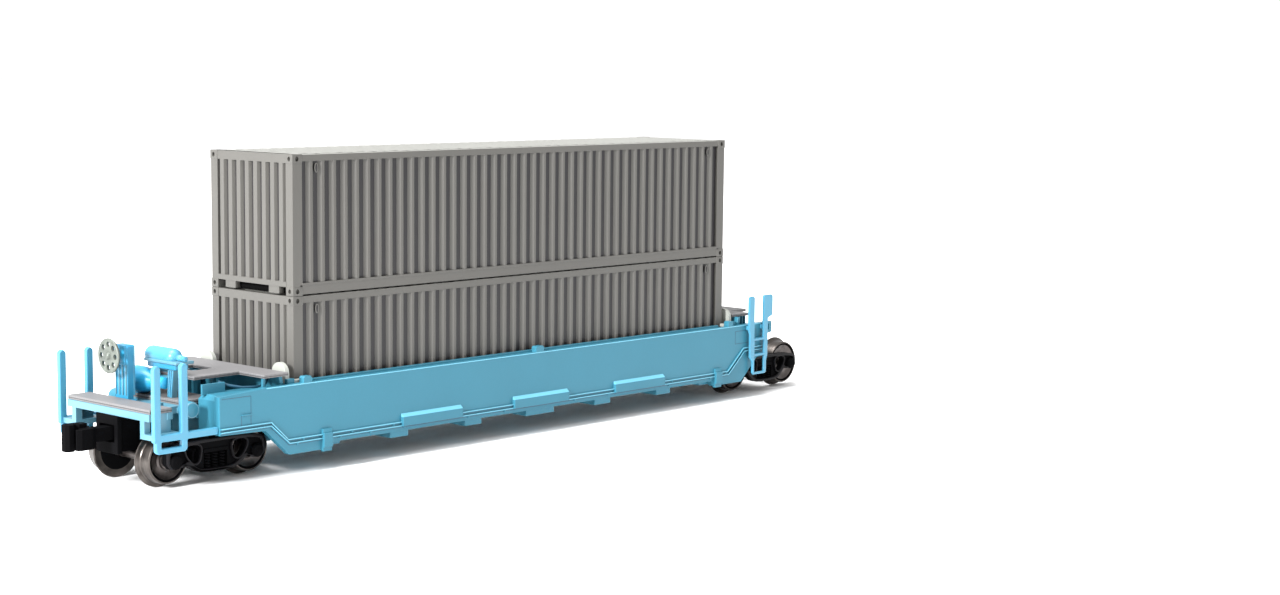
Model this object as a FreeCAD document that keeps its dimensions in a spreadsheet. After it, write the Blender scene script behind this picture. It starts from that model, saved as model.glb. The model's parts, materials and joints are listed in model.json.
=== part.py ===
"""N-scale (1:160) articulated double-stack well car, leading unit, with two stacked 40-foot containers.

Frame: +X runs along the car, away from the coupler, +Y is the far side and +Z is up.
The sheet's lengths along X are measured from the middle of the well, and its heights
from the top of the rail. Each finished piece is then placed by well_centre and rail_top,
so that the wheel flanges stand on z = 0 and the whole car is centred on the origin.
"""
import FreeCAD, Part
import os
import Sketcher
from types import SimpleNamespace

document = FreeCAD.newDocument("well_car")
sheet = document.addObject("Spreadsheet::Sheet", "dims")
finished = []

# name, value in mm
DRIVING = (
    ("rail_top", 0.5),                # the flanges reach this far below the rail's top
    ("flange_depth", 0.5),
    ("flange_thick", 0.4),
    ("container_length", 76.2),
    ("container_width", 15.24),
    ("container_height", 16.19),
    ("container_floor", 3.52),        # underside of the lower container
    ("stack_gap", 0.02),
    ("truck_centre", 48.6),           # from the middle of the well to either kingpin
    ("coupler_reach", 63.2),          # from the middle of the well to the knuckle's face
    # side walls
    ("wall_outer", 9.45),
    ("wall_inner", 8.55),
    ("wall_top", 10.0),
    ("chord_top", 10.25),             # the thicker top chord inside the wall
    ("sill_bottom", 2.7),
    ("skirt_bottom", 2.0),
    ("skirt_half", 40.2),             # half length of the skirt at its foot
    ("skirt_inner", 34.2),
    ("arch_half", 43.6),              # where the sloping skirt meets the arch over the truck
    ("arch_bottom", 5.3),
    ("front_wall_end", 49.9),
    ("rear_wall_end", 45.2),
    ("lug_length", 1.7),
    ("flange_proud", 0.18),
    ("flange_height", 0.2),
    ("endbox_inner", 5.6),
    ("endbox_outer", 9.15),
    ("endbox_start", 41.3),
    ("endbox_top", 9.6),
    ("shelf_top", 9.9),               # the shelf in each corner of the well
    ("guide_height", 11.0),           # where the flap on it starts to round over
    # ends of the well and the walkways over the trucks
    ("bulkhead_foot", 38.5),
    ("bulkhead_head", 40.5),
    ("bulkhead_thick", 0.5),
    ("bearer_low", 2.0),
    ("bearer_high", 3.2),
    ("deck_start", 40.0),
    ("deck_step", 43.5),
    ("deck_top", 11.4),
    ("deck_under", 11.0),
    ("deck_narrow", 4.7),
    ("front_deck_half", 9.1),
    ("rear_deck_half", 7.9),
    ("front_deck_end", 49.8),
    ("rear_deck_end", 46.9),
    # stub sills
    ("sill_half", 2.3),
    ("sill_under", 4.75),
    ("sill_upper", 8.0),
    ("arm_under", 6.9),
    ("front_sill_end", 51.0),
    ("centre_plate_under", 4.45),
    ("kingpin_radius", 1.0),
    ("kingpin_end", 2.4),
    ("drawbar_pin_radius", 0.9),
    ("drawbar_pin_length", 1.4),
    ("running_gap", 0.06),
    # end platform
    ("platform_end", 58.0),
    ("platform_half", 7.8),
    ("platform_under", 7.6),
    ("board_under", 8.4),
    ("board_top", 8.9),
    ("rail_inner", 8.62),
    ("rail_outer", 9.25),
    ("post_top", 13.85),
    ("post_foot", 5.5),
    # brake gear
    ("wheel_height", 13.72),
    ("wheel_radius", 2.0),
    ("hole_ring", 1.32),
    ("brake_line", 1.9),              # the brake stand is off the centre line, to the far side
    ("stand_face", 54.8),
    ("stand_top", 14.85),
    ("reservoir_axis", 50.55),
    ("reservoir_height", 13.4),
    ("reservoir_radius", 1.0),
    ("bracket_under", 12.1),
    ("cylinder_axis", 51.35),
    ("cylinder_height", 10.5),
    ("cylinder_radius", 1.5),
    # coupler
    ("box_half", 1.75),
    ("box_low", 3.5),
    ("box_high", 7.6),
    ("box_front", 57.8),
    ("box_back", 51.2),
    ("coupler_pivot", 54.4),
    ("pivot_radius", 0.6),
    # trucks
    ("gauge_back", 3.8),              # half of the distance between the wheels' backs
    ("wheel_face", 5.75),
    ("axle_radius", 0.6),
    ("journal_radius", 0.4),
    ("journal_end", 6.8),
    ("frame_inner", 6.15),
    ("frame_web", 6.95),
    ("frame_outer", 7.25),
    ("frame_top", 4.7),
    ("front_wheel_radius", 2.62),
    ("front_wheelbase", 11.1),
    ("rear_wheel_radius", 3.02),
    ("rear_wheelbase", 11.43),
    # containers
    ("post_width", 1.45),
    ("post_depth", 1.25),
    ("groove_depth", 0.42),
    ("side_ribs_low", 1.45),
    ("side_ribs_high", 15.4),
    ("end_ribs_low", 1.75),
    ("end_ribs_high", 15.1),
    ("side_pitch", 1.723),
    ("side_grooves", 43),
    ("end_pitch", 1.53),
    ("end_grooves", 9),
    ("casting_proud", 0.05),
)


def cell(alias, value):
    """Writes one plain number in the sheet's next row and gives it a name."""
    row = cell.rows = getattr(cell, "rows", 0) + 1
    sheet.set(f"A{row}", alias)
    sheet.set(f"B{row}", str(value))
    sheet.setAlias(f"B{row}", alias)


def table(name, columns, rows):
    """Writes a table in the sheet and returns, for each row, the expressions of its columns."""
    records = []
    for count, row in enumerate(rows, 1):
        record = {}
        for column, value in zip(columns, row):
            alias = f"{name}_{count}_{column}"
            cell(alias, value)
            record[column] = f"dims.{alias}"
        records.append(SimpleNamespace(**record))
    document.recompute()
    return records


def number(expression):
    """The present value of an expression."""
    if isinstance(expression, (int, float)):
        return float(expression)
    value = sheet.evalExpression(expression)
    return float(getattr(value, "Value", value))


def bind(thing, **expressions):
    """Binds properties to expressions; a double underscore stands for a dot."""
    for name, expression in expressions.items():
        thing.setExpression(name.replace("__", "."), str(expression))


def block(x, y, z, name="block"):
    """A box between a pair of expressions on each axis."""
    box = document.addObject("Part::Box", name)
    for size, axis, (low, high) in (("Length", "x", x), ("Width", "y", y), ("Height", "z", z)):
        box.setExpression(size, f"({high}) - ({low})")
        box.setExpression(f"Placement.Base.{axis}", str(low))
    return box


TURNS = {"x": (FreeCAD.Vector(0, 1, 0), 90), "y": (FreeCAD.Vector(1, 0, 0), -90),
         "z": (FreeCAD.Vector(0, 0, 1), 0)}


def rod(axis, centre, radius, span, sides=0):
    """A cylinder, or a prism with some sides; centre has its other two coordinates, in X, Y, Z order."""
    solid = document.addObject("Part::Prism" if sides else "Part::Cylinder", "rod")
    low, high = span
    if sides:
        solid.Polygon = sides
    solid.setExpression("Circumradius" if sides else "Radius", str(radius))
    solid.setExpression("Height", f"({high}) - ({low})")
    base = list(centre)
    base.insert("xyz".index(axis), low)
    solid.Placement.Rotation = FreeCAD.Rotation(*TURNS[axis])
    for letter, expression in zip("xyz", base):
        solid.setExpression(f"Placement.Base.{letter}", str(expression))
    return solid


PLANES = {"x": "YZ_Plane", "y": "XZ_Plane", "z": "XY_Plane"}


def draw(body, name, axis, outlines, offset):
    """A sketch square to an axis, each outline's corners held by expressions."""
    sketch = body.newObject("Sketcher::SketchObject", name)
    plane = next(f for f in body.Origin.OriginFeatures if f.Role == PLANES[axis])
    sketch.AttachmentSupport = (plane, [""])
    sketch.MapMode = "FlatFace"
    sketch.setExpression("AttachmentOffset.Base.z", str(offset))
    for outline in outlines:
        corners = [FreeCAD.Vector(number(u), number(v), 0) for u, v in outline]
        first = sketch.GeometryCount
        count = len(corners)
        for index in range(count):
            sketch.addGeometry(Part.LineSegment(corners[index], corners[(index + 1) % count]), False)
        for index, (u, v) in enumerate(outline):
            line = first + index
            before = first + (index - 1) % count
            sketch.addConstraint(Sketcher.Constraint("Coincident", before, 2, line, 1))
            for kind, expression, place in (("DistanceX", u, corners[index].x),
                                            ("DistanceY", v, corners[index].y)):
                held = sketch.addConstraint(Sketcher.Constraint(kind, -1, 1, line, 1, place))
                if not isinstance(expression, (int, float)):
                    sketch.setExpression(f"Constraints[{held}]", expression)
    return sketch


def plate(name, axis, outlines, span):
    """A body padded from a flat outline, with any holes, between two places on an axis."""
    body = document.addObject("PartDesign::Body", name)
    low, high = span
    offset = f"-({high})" if axis == "y" else low
    pad = body.newObject("PartDesign::Pad", f"{name}_pad")
    pad.Profile = draw(body, f"{name}_sketch", axis, outlines, offset)
    pad.setExpression("Length", f"({high}) - ({low})")
    return body


def turned(name, outline):
    """A body of revolution about Y, from an outline of places along Y and radii."""
    body = document.addObject("PartDesign::Body", name)
    sketch = draw(body, f"{name}_sketch", "x", [outline], "0")
    solid = body.newObject("PartDesign::Revolution", f"{name}_revolution")
    solid.Profile = sketch
    solid.ReferenceAxis = (sketch, ["H_Axis"])
    solid.Angle = 360
    return body


def pattern(body, feature, direction, length, count):
    """Repeats a feature along one of the body's own axes."""
    rows = body.newObject("PartDesign::LinearPattern", f"{feature.Name}_rows")
    rows.Originals = [feature]
    axis = next(f for f in body.Origin.OriginFeatures if f.Role == f"{direction}_Axis")
    rows.Direction = (axis, [""])
    rows.setExpression("Length", length)
    rows.setExpression("Occurrences", count)
    body.Tip = rows
    return rows


def union(name, pieces):
    joined = document.addObject("Part::MultiFuse", name)
    joined.Shapes = pieces
    joined.Refine = True
    return joined


def minus(base, tools, name="cut"):
    for tool in tools:
        cut = document.addObject("Part::Cut", name)
        cut.Base = base
        cut.Tool = tool
        cut.Refine = True
        base = cut
    return base


def finish(label, piece, x="0", y="0", z="0"):
    """Places a finished piece on the car and puts it on the list that is written out."""
    piece.Label = label
    bind(piece, Placement__Base__x=f"dims.well_centre + ({x})", Placement__Base__y=y,
         Placement__Base__z=f"dims.rail_top + ({z})")
    finished.append(piece)


SIDES = (("near", -1), ("far", 1))


def side_span(side, low, high):
    """A span of |y| on one side of the car: side is -1 near, +1 far."""
    if side > 0:
        return low, high
    return f"-({high})", f"-({low})"


def end_span(end, low, high):
    """A span of |x| at one end of the car: end is -1 front, +1 rear."""
    return side_span(end, low, high)


def wall_outline():
    """The side of the well: skirts at both ends, arches over the trucks, and the lug at the rear."""
    return (
        ("-dims.front_wall_end", "dims.arch_bottom"), ("-dims.arch_half", "dims.arch_bottom - 0.15"),
        ("-dims.skirt_half", "dims.skirt_bottom"), ("-dims.skirt_inner", "dims.skirt_bottom"),
        ("-dims.skirt_inner + 0.4", "dims.sill_bottom"), ("dims.skirt_inner - 0.4", "dims.sill_bottom"),
        ("dims.skirt_inner", "dims.skirt_bottom"), ("dims.skirt_half", "dims.skirt_bottom"),
        ("dims.arch_half", "dims.arch_bottom - 0.15"), ("dims.rear_wall_end", "dims.arch_bottom"),
        ("dims.rear_wall_end", "8.3"), ("dims.rear_wall_end + dims.lug_length", "8.5"),
        ("dims.rear_wall_end + dims.lug_length", "dims.wall_top + 0.05"),
        ("dims.rear_wall_end", "dims.wall_top"),
        ("-dims.arch_half", "dims.wall_top"), ("-dims.front_wall_end", "dims.endbox_top"))


def lug_slot():
    """The upright slot in the lug at the rear of the wall."""
    middle = "dims.rear_wall_end + 0.85"
    return [(f"{middle} - 0.25", "8.9"), (f"{middle} + 0.25", "8.9"), (f"{middle} + 0.25", "9.7"),
            (f"{middle} - 0.25", "9.7")]


def flange_outline(well_height, front_height, rear_height, inset):
    """A thin flange that follows the foot of the wall and rises over both trucks."""
    line = [("-dims.front_wall_end", front_height), ("-42.9", front_height),
            (f"-40.5 + {inset}", well_height), (f"37.1 + {inset}", well_height),
            (f"40.5 + {inset}", rear_height), ("dims.rear_wall_end", rear_height)]
    upper = [(x, f"{height} + dims.flange_height") for x, height in line]
    return line + upper[::-1]


def side_wall(label, side, parts):
    """One deep side of the well, with end boxes, flanges, clamps, guard rails and tabs."""
    wall = side_span(side, "dims.wall_inner", "dims.wall_outer")
    proud = side_span(side, "dims.wall_outer", "dims.wall_outer + dims.flange_proud")
    box = side_span(side, "dims.endbox_inner", "dims.endbox_outer")
    pieces = [plate(f"{label}_web", "y", [wall_outline(), lug_slot()], wall)]
    for flange in parts.flanges:
        outline = flange_outline(flange.well, flange.front, flange.rear, flange.inset)
        pieces.append(plate(f"{label}_flange", "y", [outline], proud))
    slope = "dims.front_wall_end - 0.7"
    front_box = [("-dims.front_wall_end", "dims.arch_bottom + 0.2"),
                 ("-dims.endbox_start", "dims.arch_bottom + 0.2"),
                 ("-dims.endbox_start", "dims.endbox_top"), (f"-({slope})", "dims.endbox_top"),
                 ("-dims.front_wall_end", "dims.endbox_top - 0.5")]
    pieces.append(plate(f"{label}_front_box", "y", [front_box], box))
    pieces.append(block(("dims.endbox_start", "dims.rear_wall_end"), box,
                        ("dims.arch_bottom + 1.0", "dims.endbox_top")))
    pieces.append(block(("-49.9", "-46.8"), side_span(side, "6.05", "6.35"),
                        ("dims.endbox_top - 0.1", "10.7")))
    pieces.append(block(("-36", "36"), side_span(side, "8.2", "8.7"), ("9.5", "dims.chord_top")))
    for end in (-1, 1):
        pieces.append(block(end_span(end, "38.6", "39.9"), side_span(side, "4.4", "dims.wall_inner + 0.1"),
                            ("9.3", "dims.shelf_top")))
        pieces.append(block(end_span(end, "38.8", "39.8"), side_span(side, "8.1", "dims.wall_inner + 0.1"),
                            ("dims.shelf_top - 0.1", "10.5")))
    for clamp in parts.clamps:
        pieces.append(block((f"{clamp.centre} - 0.65", f"{clamp.centre} + 0.65"),
                            side_span(side, "dims.wall_outer - 0.2", "dims.wall_outer + 0.3"),
                            ("1.8", "4.4")))
        pieces.append(block((f"{clamp.centre} - 0.65", f"{clamp.centre} + 0.65"),
                            side_span(side, "dims.wall_outer - 0.2", "dims.wall_outer + 0.5"),
                            ("2.3", "3.95")))
    for rail in parts.rails:
        low, high = f"{rail.centre} - {rail.half}", f"{rail.centre} + {rail.half}"
        face = "dims.wall_outer + 0.45"
        section = [(low, "3.3"), (high, "3.3"), (high, "4.4"), (low, "4.4")]
        bar = plate(f"{label}_guard", "y", [section], side_span(side, "dims.wall_outer - 0.1", face))
        pieces.append(bar)
    for tab in parts.tabs:
        shape = [(f"{tab.centre} - {tab.half}", "dims.wall_top - 0.1"),
                 (f"{tab.centre} + {tab.half}", "dims.wall_top - 0.1"),
                 (f"{tab.centre} + {tab.half}", "dims.wall_top + 0.55"),
                 (f"{tab.centre} + {tab.half} - 0.2", "dims.wall_top + 0.75"),
                 (f"{tab.centre} - {tab.half} + 0.2", "dims.wall_top + 0.75"),
                 (f"{tab.centre} - {tab.half}", "dims.wall_top + 0.55")]
        pieces.append(plate(f"{label}_tab", "y", [shape],
                            side_span(side, "dims.wall_inner + 0.05", "dims.wall_outer")))
    for foot in parts.feet:
        pieces.append(block((f"{foot.centre} - {foot.half}", f"{foot.centre} + {foot.half}"),
                            side_span(side, "dims.wall_inner", "dims.wall_outer - 0.1"),
                            ("dims.bearer_low", "dims.sill_bottom + 0.1")))
    finish(label, union(f"{label}_union", pieces))


def well_floor(parts):
    """Cross-bearers between the sides, a spine, and the seats under the container's corners."""
    across = ("-dims.wall_inner", "dims.wall_inner")
    pieces = [block(("-dims.bulkhead_foot", "dims.bulkhead_foot"), ("-1.6", "1.6"),
                    ("dims.bearer_low + 0.2", "dims.bearer_high - 0.1"))]
    for foot in parts.feet:
        pieces.append(block((f"{foot.centre} - {foot.half}", f"{foot.centre} + {foot.half}"), across,
                            ("dims.bearer_low", "dims.bearer_high")))
    for clamp in parts.clamps:
        pieces.append(block((f"{clamp.centre} - 1.2", f"{clamp.centre} + 1.2"), across,
                            ("dims.bearer_low + 0.2", "dims.bearer_high")))
        for name, side in SIDES:
            pieces.append(block((f"{clamp.centre} - 2.8", f"{clamp.centre} + 2.8"),
                                side_span(side, "4.2", "dims.wall_inner"),
                                ("dims.skirt_bottom + 0.2", "dims.container_floor - dims.stack_gap")))
    finish("well_floor", union("well_floor_union", pieces))


def bulkhead(label, end):
    """The sloping end of the well, notched over the wheels."""
    foot = f"{end} * dims.bulkhead_foot"
    head = f"{end} * dims.bulkhead_head"
    thick = f"{end} * dims.bulkhead_thick"
    outline = ((foot, "dims.skirt_bottom"), (f"{foot} + {thick}", "dims.skirt_bottom"),
               (f"{head} + {thick}", "dims.deck_under"), (head, "dims.deck_under"))
    web = plate(f"{label}_web", "y", [outline], ("-dims.wall_inner", "dims.wall_inner"))
    notches = [block(end_span(end, "38", "42"), side_span(side, "2.6", "6.7"), ("1.5", "6.8"))
               for name, side in SIDES]
    finish(label, minus(web, notches, f"{label}_notched"))


def end_sill(label, end, reach, arm):
    """Stub sill over the truck, with its bolster arms, the centre plate and the kingpin."""
    pieces = [
        block(end_span(end, "dims.bulkhead_foot", reach), ("-dims.sill_half", "dims.sill_half"),
              ("dims.sill_under", "dims.sill_upper")),
        block(end_span(end, f"{arm} - 1.5", f"{arm} + 1.5"), ("-dims.endbox_inner", "dims.endbox_inner"),
              ("dims.arm_under", "dims.sill_upper")),
        rod("z", (f"{end} * dims.truck_centre", "0"), "2.0",
            ("dims.centre_plate_under", "dims.sill_under + 0.1"),
            sides=12),
        rod("z", (f"{end} * dims.truck_centre", "0"), "dims.kingpin_radius",
            ("dims.kingpin_end", "dims.centre_plate_under + 0.1"), sides=12),
    ]
    if end > 0:
        pieces.append(block(("44.3", "44.8"), ("-dims.endbox_inner", "dims.endbox_inner"),
                            ("dims.arm_under", "10.3")))
        pieces.append(rod("z", ("dims.truck_centre", "0"), "dims.drawbar_pin_radius",
                          ("dims.sill_upper - 0.2", "dims.sill_upper + dims.drawbar_pin_length")))
    outer_foot = f"{end} * (dims.bulkhead_foot + dims.bulkhead_thick)"
    outer_head = f"{end} * (dims.bulkhead_head + dims.bulkhead_thick)"
    well = plate(f"{label}_well", "y", [[(outer_foot, "dims.skirt_bottom"), (outer_head, "dims.deck_under"),
                                         (f"{end} * 30", "dims.deck_under"),
                                         (f"{end} * 30", "dims.skirt_bottom")]],
                 ("-9", "9"))
    finish(label, minus(union(f"{label}_union", pieces), [well]))


def deck(label, end, half, narrow_end, hole):
    """The grey walkway over the truck: a wide strip beside the well and a narrow one outboard."""
    def x(place):
        return f"{end} * ({place})"
    outlines = [[(x("dims.deck_start"), f"-{half}"), (x("dims.deck_step"), f"-{half}"),
                 (x("dims.deck_step"), "-dims.deck_narrow"), (x(narrow_end), "-dims.deck_narrow"),
                 (x(narrow_end), "dims.deck_narrow"), (x("dims.deck_step"), "dims.deck_narrow"),
                 (x("dims.deck_step"), half), (x("dims.deck_start"), half)]]
    if hole:
        start, finish_hole, low, high = hole
        outlines.append([(x(start), low), (x(start), high), (x(finish_hole), high), (x(finish_hole), low)])
    finish(label, plate(f"{label}_boards", "z", outlines, ("dims.deck_under", "dims.deck_top")))


def deck_posts(label, end, posts):
    """Short posts that carry the walkway on the end boxes and the stub sill."""
    pieces = []
    for post in posts:
        for name, side in SIDES:
            pieces.append(block((f"{end} * {post.x} - {post.half}", f"{end} * {post.x} + {post.half}"),
                                side_span(side, f"{post.y} - 0.2", f"{post.y} + 0.2"),
                                (post.foot, "dims.deck_under")))
    finish(label, union(f"{label}_union", pieces))


def platform():
    """The blue frame of the end platform, and the grey boards on it."""
    top = "dims.board_under"
    beam = ("dims.platform_under", top)
    front = ("-dims.platform_end", "-dims.platform_end + 0.8")
    pieces = [
        block(front, ("-dims.platform_half", "dims.platform_half"), beam),
        block(("-55.6", "-54.9"), ("-dims.platform_half", "dims.platform_half"), beam),
        block(("-51.8", "-51.0"), ("-4.8", "4.8"), beam),
        block(("-57.6", "-dims.front_sill_end"), ("-dims.box_half", "dims.box_half"),
              ("dims.box_high", top)),
    ]
    for name, side in SIDES:
        pieces.append(block(("-dims.platform_end", "-54.9"), side_span(side, "6.9", "7.7"), beam))
        pieces.append(block(("-55.2", "-50.3"), side_span(side, "4.2", "4.8"), beam))
        pieces.append(block(front, side_span(side, "6.1", "6.9"), ("5.8", "7.8")))
        pieces.append(block(("-dims.platform_end", "-54.3"), side_span(side, "6.1", "dims.rail_inner"),
                            ("5.6", "6.2")))
        pieces.append(block(("-52.2", "-51.6"), side_span(side, "4.8", "6.2"),
                            ("dims.platform_under", "8.2")))
        pieces.append(rod("y", ("-52.0", "8.2"), "0.9", side_span(side, "5.9", "7.4"), sides=12))
        pieces.append(block(("-56.6", "-55.1"), side_span(side, "7.0", "7.7"),
                            ("6.1", "dims.platform_under + 0.1")))
    finish("platform_frame", union("platform_union", pieces))
    boards = [block(("-57.9", "-55.0"), ("-dims.platform_half", "dims.platform_half"),
                    (top, "dims.board_top")),
              block(("-51.8", "-47.2"), ("-4.8", "4.8"), (top, "dims.board_top"))]
    finish("platform_boards", union("boards_union", boards))


def end_rail(label, side):
    """Two handrail posts, the bar that ties them to the end box, and the stirrup step below."""
    span = side_span(side, "dims.rail_inner", "dims.rail_outer")
    pieces = []
    for outer in ("-58.35", "-54.8"):
        post = [(outer, "dims.post_foot"), (f"{outer} + 0.9", "dims.post_foot"),
                (f"{outer} + 0.9", "dims.post_top - 0.3"),
                (f"{outer} + 0.6", "dims.post_top"), (f"{outer} + 0.3", "dims.post_top"),
                (outer, "dims.post_top - 0.3")]
        pieces.append(plate(f"{label}_post", "y", [post], span))
    pieces.append(block(("-58.35", "-dims.front_wall_end"), span, ("dims.post_foot", "6.3")))
    stirrup = [("-58.1", "dims.post_foot + 0.3"), ("-58.1", "4.5"), ("-57.8", "4.2"), ("-54.3", "4.2"),
               ("-54.0", "4.5"),
               ("-54.0", "dims.post_foot + 0.3")]
    opening = [("-57.4", "4.8"), ("-54.7", "4.8"), ("-54.7", "dims.post_foot"), ("-57.4", "dims.post_foot")]
    pieces.append(plate(f"{label}_stirrup", "y", [stirrup, opening], span))
    finish(label, union(f"{label}_union", pieces))


def brake_stand():
    """The channel-shaped post with its housing and foot, and the shaft that carries the brake wheel."""
    face = "-dims.stand_face"
    line = "dims.brake_line"
    tall = ("dims.board_under", "dims.stand_top - 0.1")
    pieces = [
        block((face, f"{face} + 0.3"), (f"{line} - 1.2", f"{line} + 1.2"), tall),
        block((face, f"{face} + 0.8"), (f"{line} - 1.2", f"{line} - 0.9"), tall),
        block((face, f"{face} + 0.8"), (f"{line} + 0.9", f"{line} + 1.2"), tall),
        block((f"{face} - 0.3", f"{face} + 1.0"), (f"{line} - 1.05", f"{line} + 1.05"),
              ("12.6", "dims.stand_top")),
        block((f"{face} - 0.15", f"{face} + 1.1"), (f"{line} - 1.4", f"{line} + 1.4"),
              ("dims.board_under", "8.7")),
        rod("x", (line, "dims.wheel_height"), "0.3", ("-56.2", face), sides=8),
    ]
    finish("brake_stand", union("brake_stand_union", pieces))


def brake_wheel():
    """A dished disc with a ring of eight holes, and its hub."""
    line = "dims.brake_line"
    disc = [rod("x", (line, "dims.wheel_height"), "dims.wheel_radius", ("-56.5", "-56.2")),
            rod("x", (line, "dims.wheel_height"), "0.5", ("-56.75", "-56.4"), sides=12)]
    holes = []
    for turn in range(8):
        angle = f"{45 * turn} * 1deg"
        centre = (f"{line} + dims.hole_ring * cos({angle})",
                  f"dims.wheel_height + dims.hole_ring * sin({angle})")
        holes.append(rod("x", centre, "0.37", ("-57", "-56"), sides=6))
    finish("brake_wheel", minus(union("brake_disc", disc), [union("brake_holes", holes)]))


def reservoir():
    """The air reservoir: a drum across the car with coned ends, a nozzle and a flange round its middle."""
    radius = "dims.reservoir_radius"
    outline = [("-3.0", "0"), ("-3.0", "0.33"), ("-2.2", radius), ("2.1", radius), ("2.6", "0.6"),
               ("2.6", "0")]
    drum = turned("reservoir_drum", outline)
    nozzle = rod("y", ("0", "0"), "0.33", ("-4.3", "-2.9"), sides=8)
    flange = block(("-1.15", "1.35"), ("-4.0", "2.1"), ("-0.65", "-0.3"))
    bed = block(("-0.8", "1.0"), ("-3.4", "1.9"), ("dims.bracket_under - dims.reservoir_height", "-0.6"))
    tank = union("reservoir_union", [drum, nozzle, flange, bed])
    finish("reservoir", tank, x="-dims.reservoir_axis", z="dims.reservoir_height")
    slant = [("-2.8", "dims.bracket_under"), ("-1.8", "dims.bracket_under"), ("-1.65", "dims.board_top"),
             ("-2.4", "dims.board_top")]
    legs = [plate("cradle_leg", "x", [slant], ("-51.1", "-50.4")),
            block(("-49.79", "-49.5"), ("-1.6", "1.9"), ("dims.deck_top", "dims.bracket_under")),
            block(("-50.5", "-49.5"), ("-2.8", "1.9"), ("dims.bracket_under - 0.3", "dims.bracket_under"))]
    finish("reservoir_cradle", union("cradle_union", legs))


def brake_cylinder():
    """The brake cylinder across the inner board, stepped down to its rod end, on a saddle that fits it."""
    radius = "dims.cylinder_radius"
    outline = [("-1.6", "0"), ("-1.6", "0.65"), ("0.6", "0.65"), ("0.6", f"{radius} - 0.5"),
               ("2.6", radius),
               ("4.2", radius), ("4.2", "0")]
    finish("brake_cylinder", turned("brake_cylinder_body", outline), x="-dims.cylinder_axis",
           z="dims.cylinder_height")
    saddle = block(("-51.8", "-50.3"), ("2.9", "3.6"), ("dims.board_top", "9.6"))
    hollow = rod("y", ("-dims.cylinder_axis", "dims.cylinder_height"), radius, ("2", "5"))
    finish("cylinder_saddle", minus(saddle, [hollow]))


def ladder(label, side):
    """The ladder on the rear corner of the car, narrower below its lowest full-width rung."""
    span = side_span(side, "dims.wall_outer + 0.4", "dims.wall_outer + 0.75")
    outline = [("41.8", "3.1"), ("42.05", "2.85"), ("44.7", "2.85"), ("44.95", "3.1"), ("44.95", "4.6"),
               ("45.4", "5.4"), ("45.4", "10.8"), ("46.2", "11.0"), ("46.2", "13.8"), ("46.0", "14.0"),
               ("44.1", "14.0"), ("44.1", "8.0"), ("42.3", "8.0"), ("42.3", "13.8"), ("42.1", "14.0"),
               ("41.2", "14.0"), ("41.0", "13.8"), ("41.0", "5.4"), ("41.8", "4.6")]
    holes = [[("42.5", low), ("44.2", low), ("44.2", high), ("42.5", high)]
             for low, high in (("3.2", "5.45"), ("5.8", "7.65"))]
    pieces = [plate(f"{label}_frame", "y", [outline] + holes, span)]
    bracket = side_span(side, "dims.wall_outer", "dims.wall_outer + 0.45")
    for x, z in ((("41.9", "44.7"), ("7.65", "8.0")), (("41.1", "42.2"), ("9.2", "9.8")),
                 (("44.2", "45.1"), ("9.2", "9.8"))):
        pieces.append(block(x, bracket, z))
    finish(label, union(f"{label}_union", pieces))


def guide(label, end, side):
    """A round-headed flap across a corner of the well, which guides a container's end down."""
    thick = end_span(end, "39.0", "39.6")
    flat = block(thick, side_span(side, "5.5", "8.0"), ("dims.shelf_top", "dims.guide_height"))
    head = rod("x", (f"{side} * 6.75", "dims.guide_height"), "1.25", thick)
    foot = block(thick, side_span(side, "5.1", "8.1"), ("dims.shelf_top", "10.5"))
    hinge = [("37.4", "7.75"), ("39.1", "7.75"), ("39.1", "8.1"), ("38.8", "8.1"), ("38.8", "8.5"),
             ("37.4", "8.5")]
    hinge = plate(f"{label}_hinge", "z", [[(f"{end} * {x}", f"{side} * {y}") for x, y in hinge]],
                  ("dims.shelf_top", "10.3"))
    shelf = block(end_span(end, "38", "41"), side_span(side, "4", "9"), ("8", "dims.shelf_top"))
    finish(label, minus(union(f"{label}_union", [flat, head, foot, hinge]), [shelf], f"{label}_seated"))


def coupler():
    """The draft box under the platform, open in front, and the coupler that swings in it."""
    pivot = ("-dims.coupler_pivot", "0")
    box = union("draft_box_shell", [
        block(("-dims.box_front", "-dims.box_back"), ("-dims.box_half", "dims.box_half"),
              ("dims.box_low", "dims.box_high")),
        block(("-dims.box_front - 0.3", "-dims.box_front + 0.3"), ("-2.0", "2.0"),
              ("3.3", "dims.box_high"))])
    cavity = block(("-60", "-53.2"), ("-1.4", "1.4"), ("4.6", "6.5"))
    post = rod("z", pivot, "dims.pivot_radius", ("4.5", "6.6"), sides=12)
    finish("draft_box", union("draft_box_union", [minus(box, [cavity]), post]))
    shank = plate("coupler_shank", "z",
                  [[("-60.6", "-0.7"), ("-60.6", "0.7"), ("-53.6", "0.9"), ("-53.6", "-0.9")]],
                  ("4.8", "6.3"))
    guard = plate("coupler_guard", "z",
                  [[("-60.0", "-0.8"), ("-60.7", "-1.2"), ("-62.1", "-1.3"), ("-62.6", "-1.05"),
                    ("-62.5", "-0.7"), ("-61.8", "-0.5"), ("-61.6", "0.2"), ("-61.3", "1.2"),
                    ("-60.0", "0.8")]], ("4.15", "6.45"))
    knuckle = plate("coupler_knuckle", "z",
                    [[("-60.6", "0"), ("-61.6", "-0.05"), ("-61.8", "0.35"), ("-62.2", "0.35"),
                      ("-62.3", "-0.1"), ("-62.9", "-0.1"), ("-dims.coupler_reach", "0.3"),
                      ("-dims.coupler_reach", "1.0"), ("-62.7", "1.4"), ("-61.3", "1.3"),
                      ("-60.6", "0.9")]], ("3.95", "6.9"))
    hole = rod("z", pivot, "(dims.pivot_radius + dims.running_gap) / cos(15 * 1deg)", ("4", "7"), sides=12)
    finish("coupler", minus(union("coupler_union", [shank, guard, knuckle]), [hole]))


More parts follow.
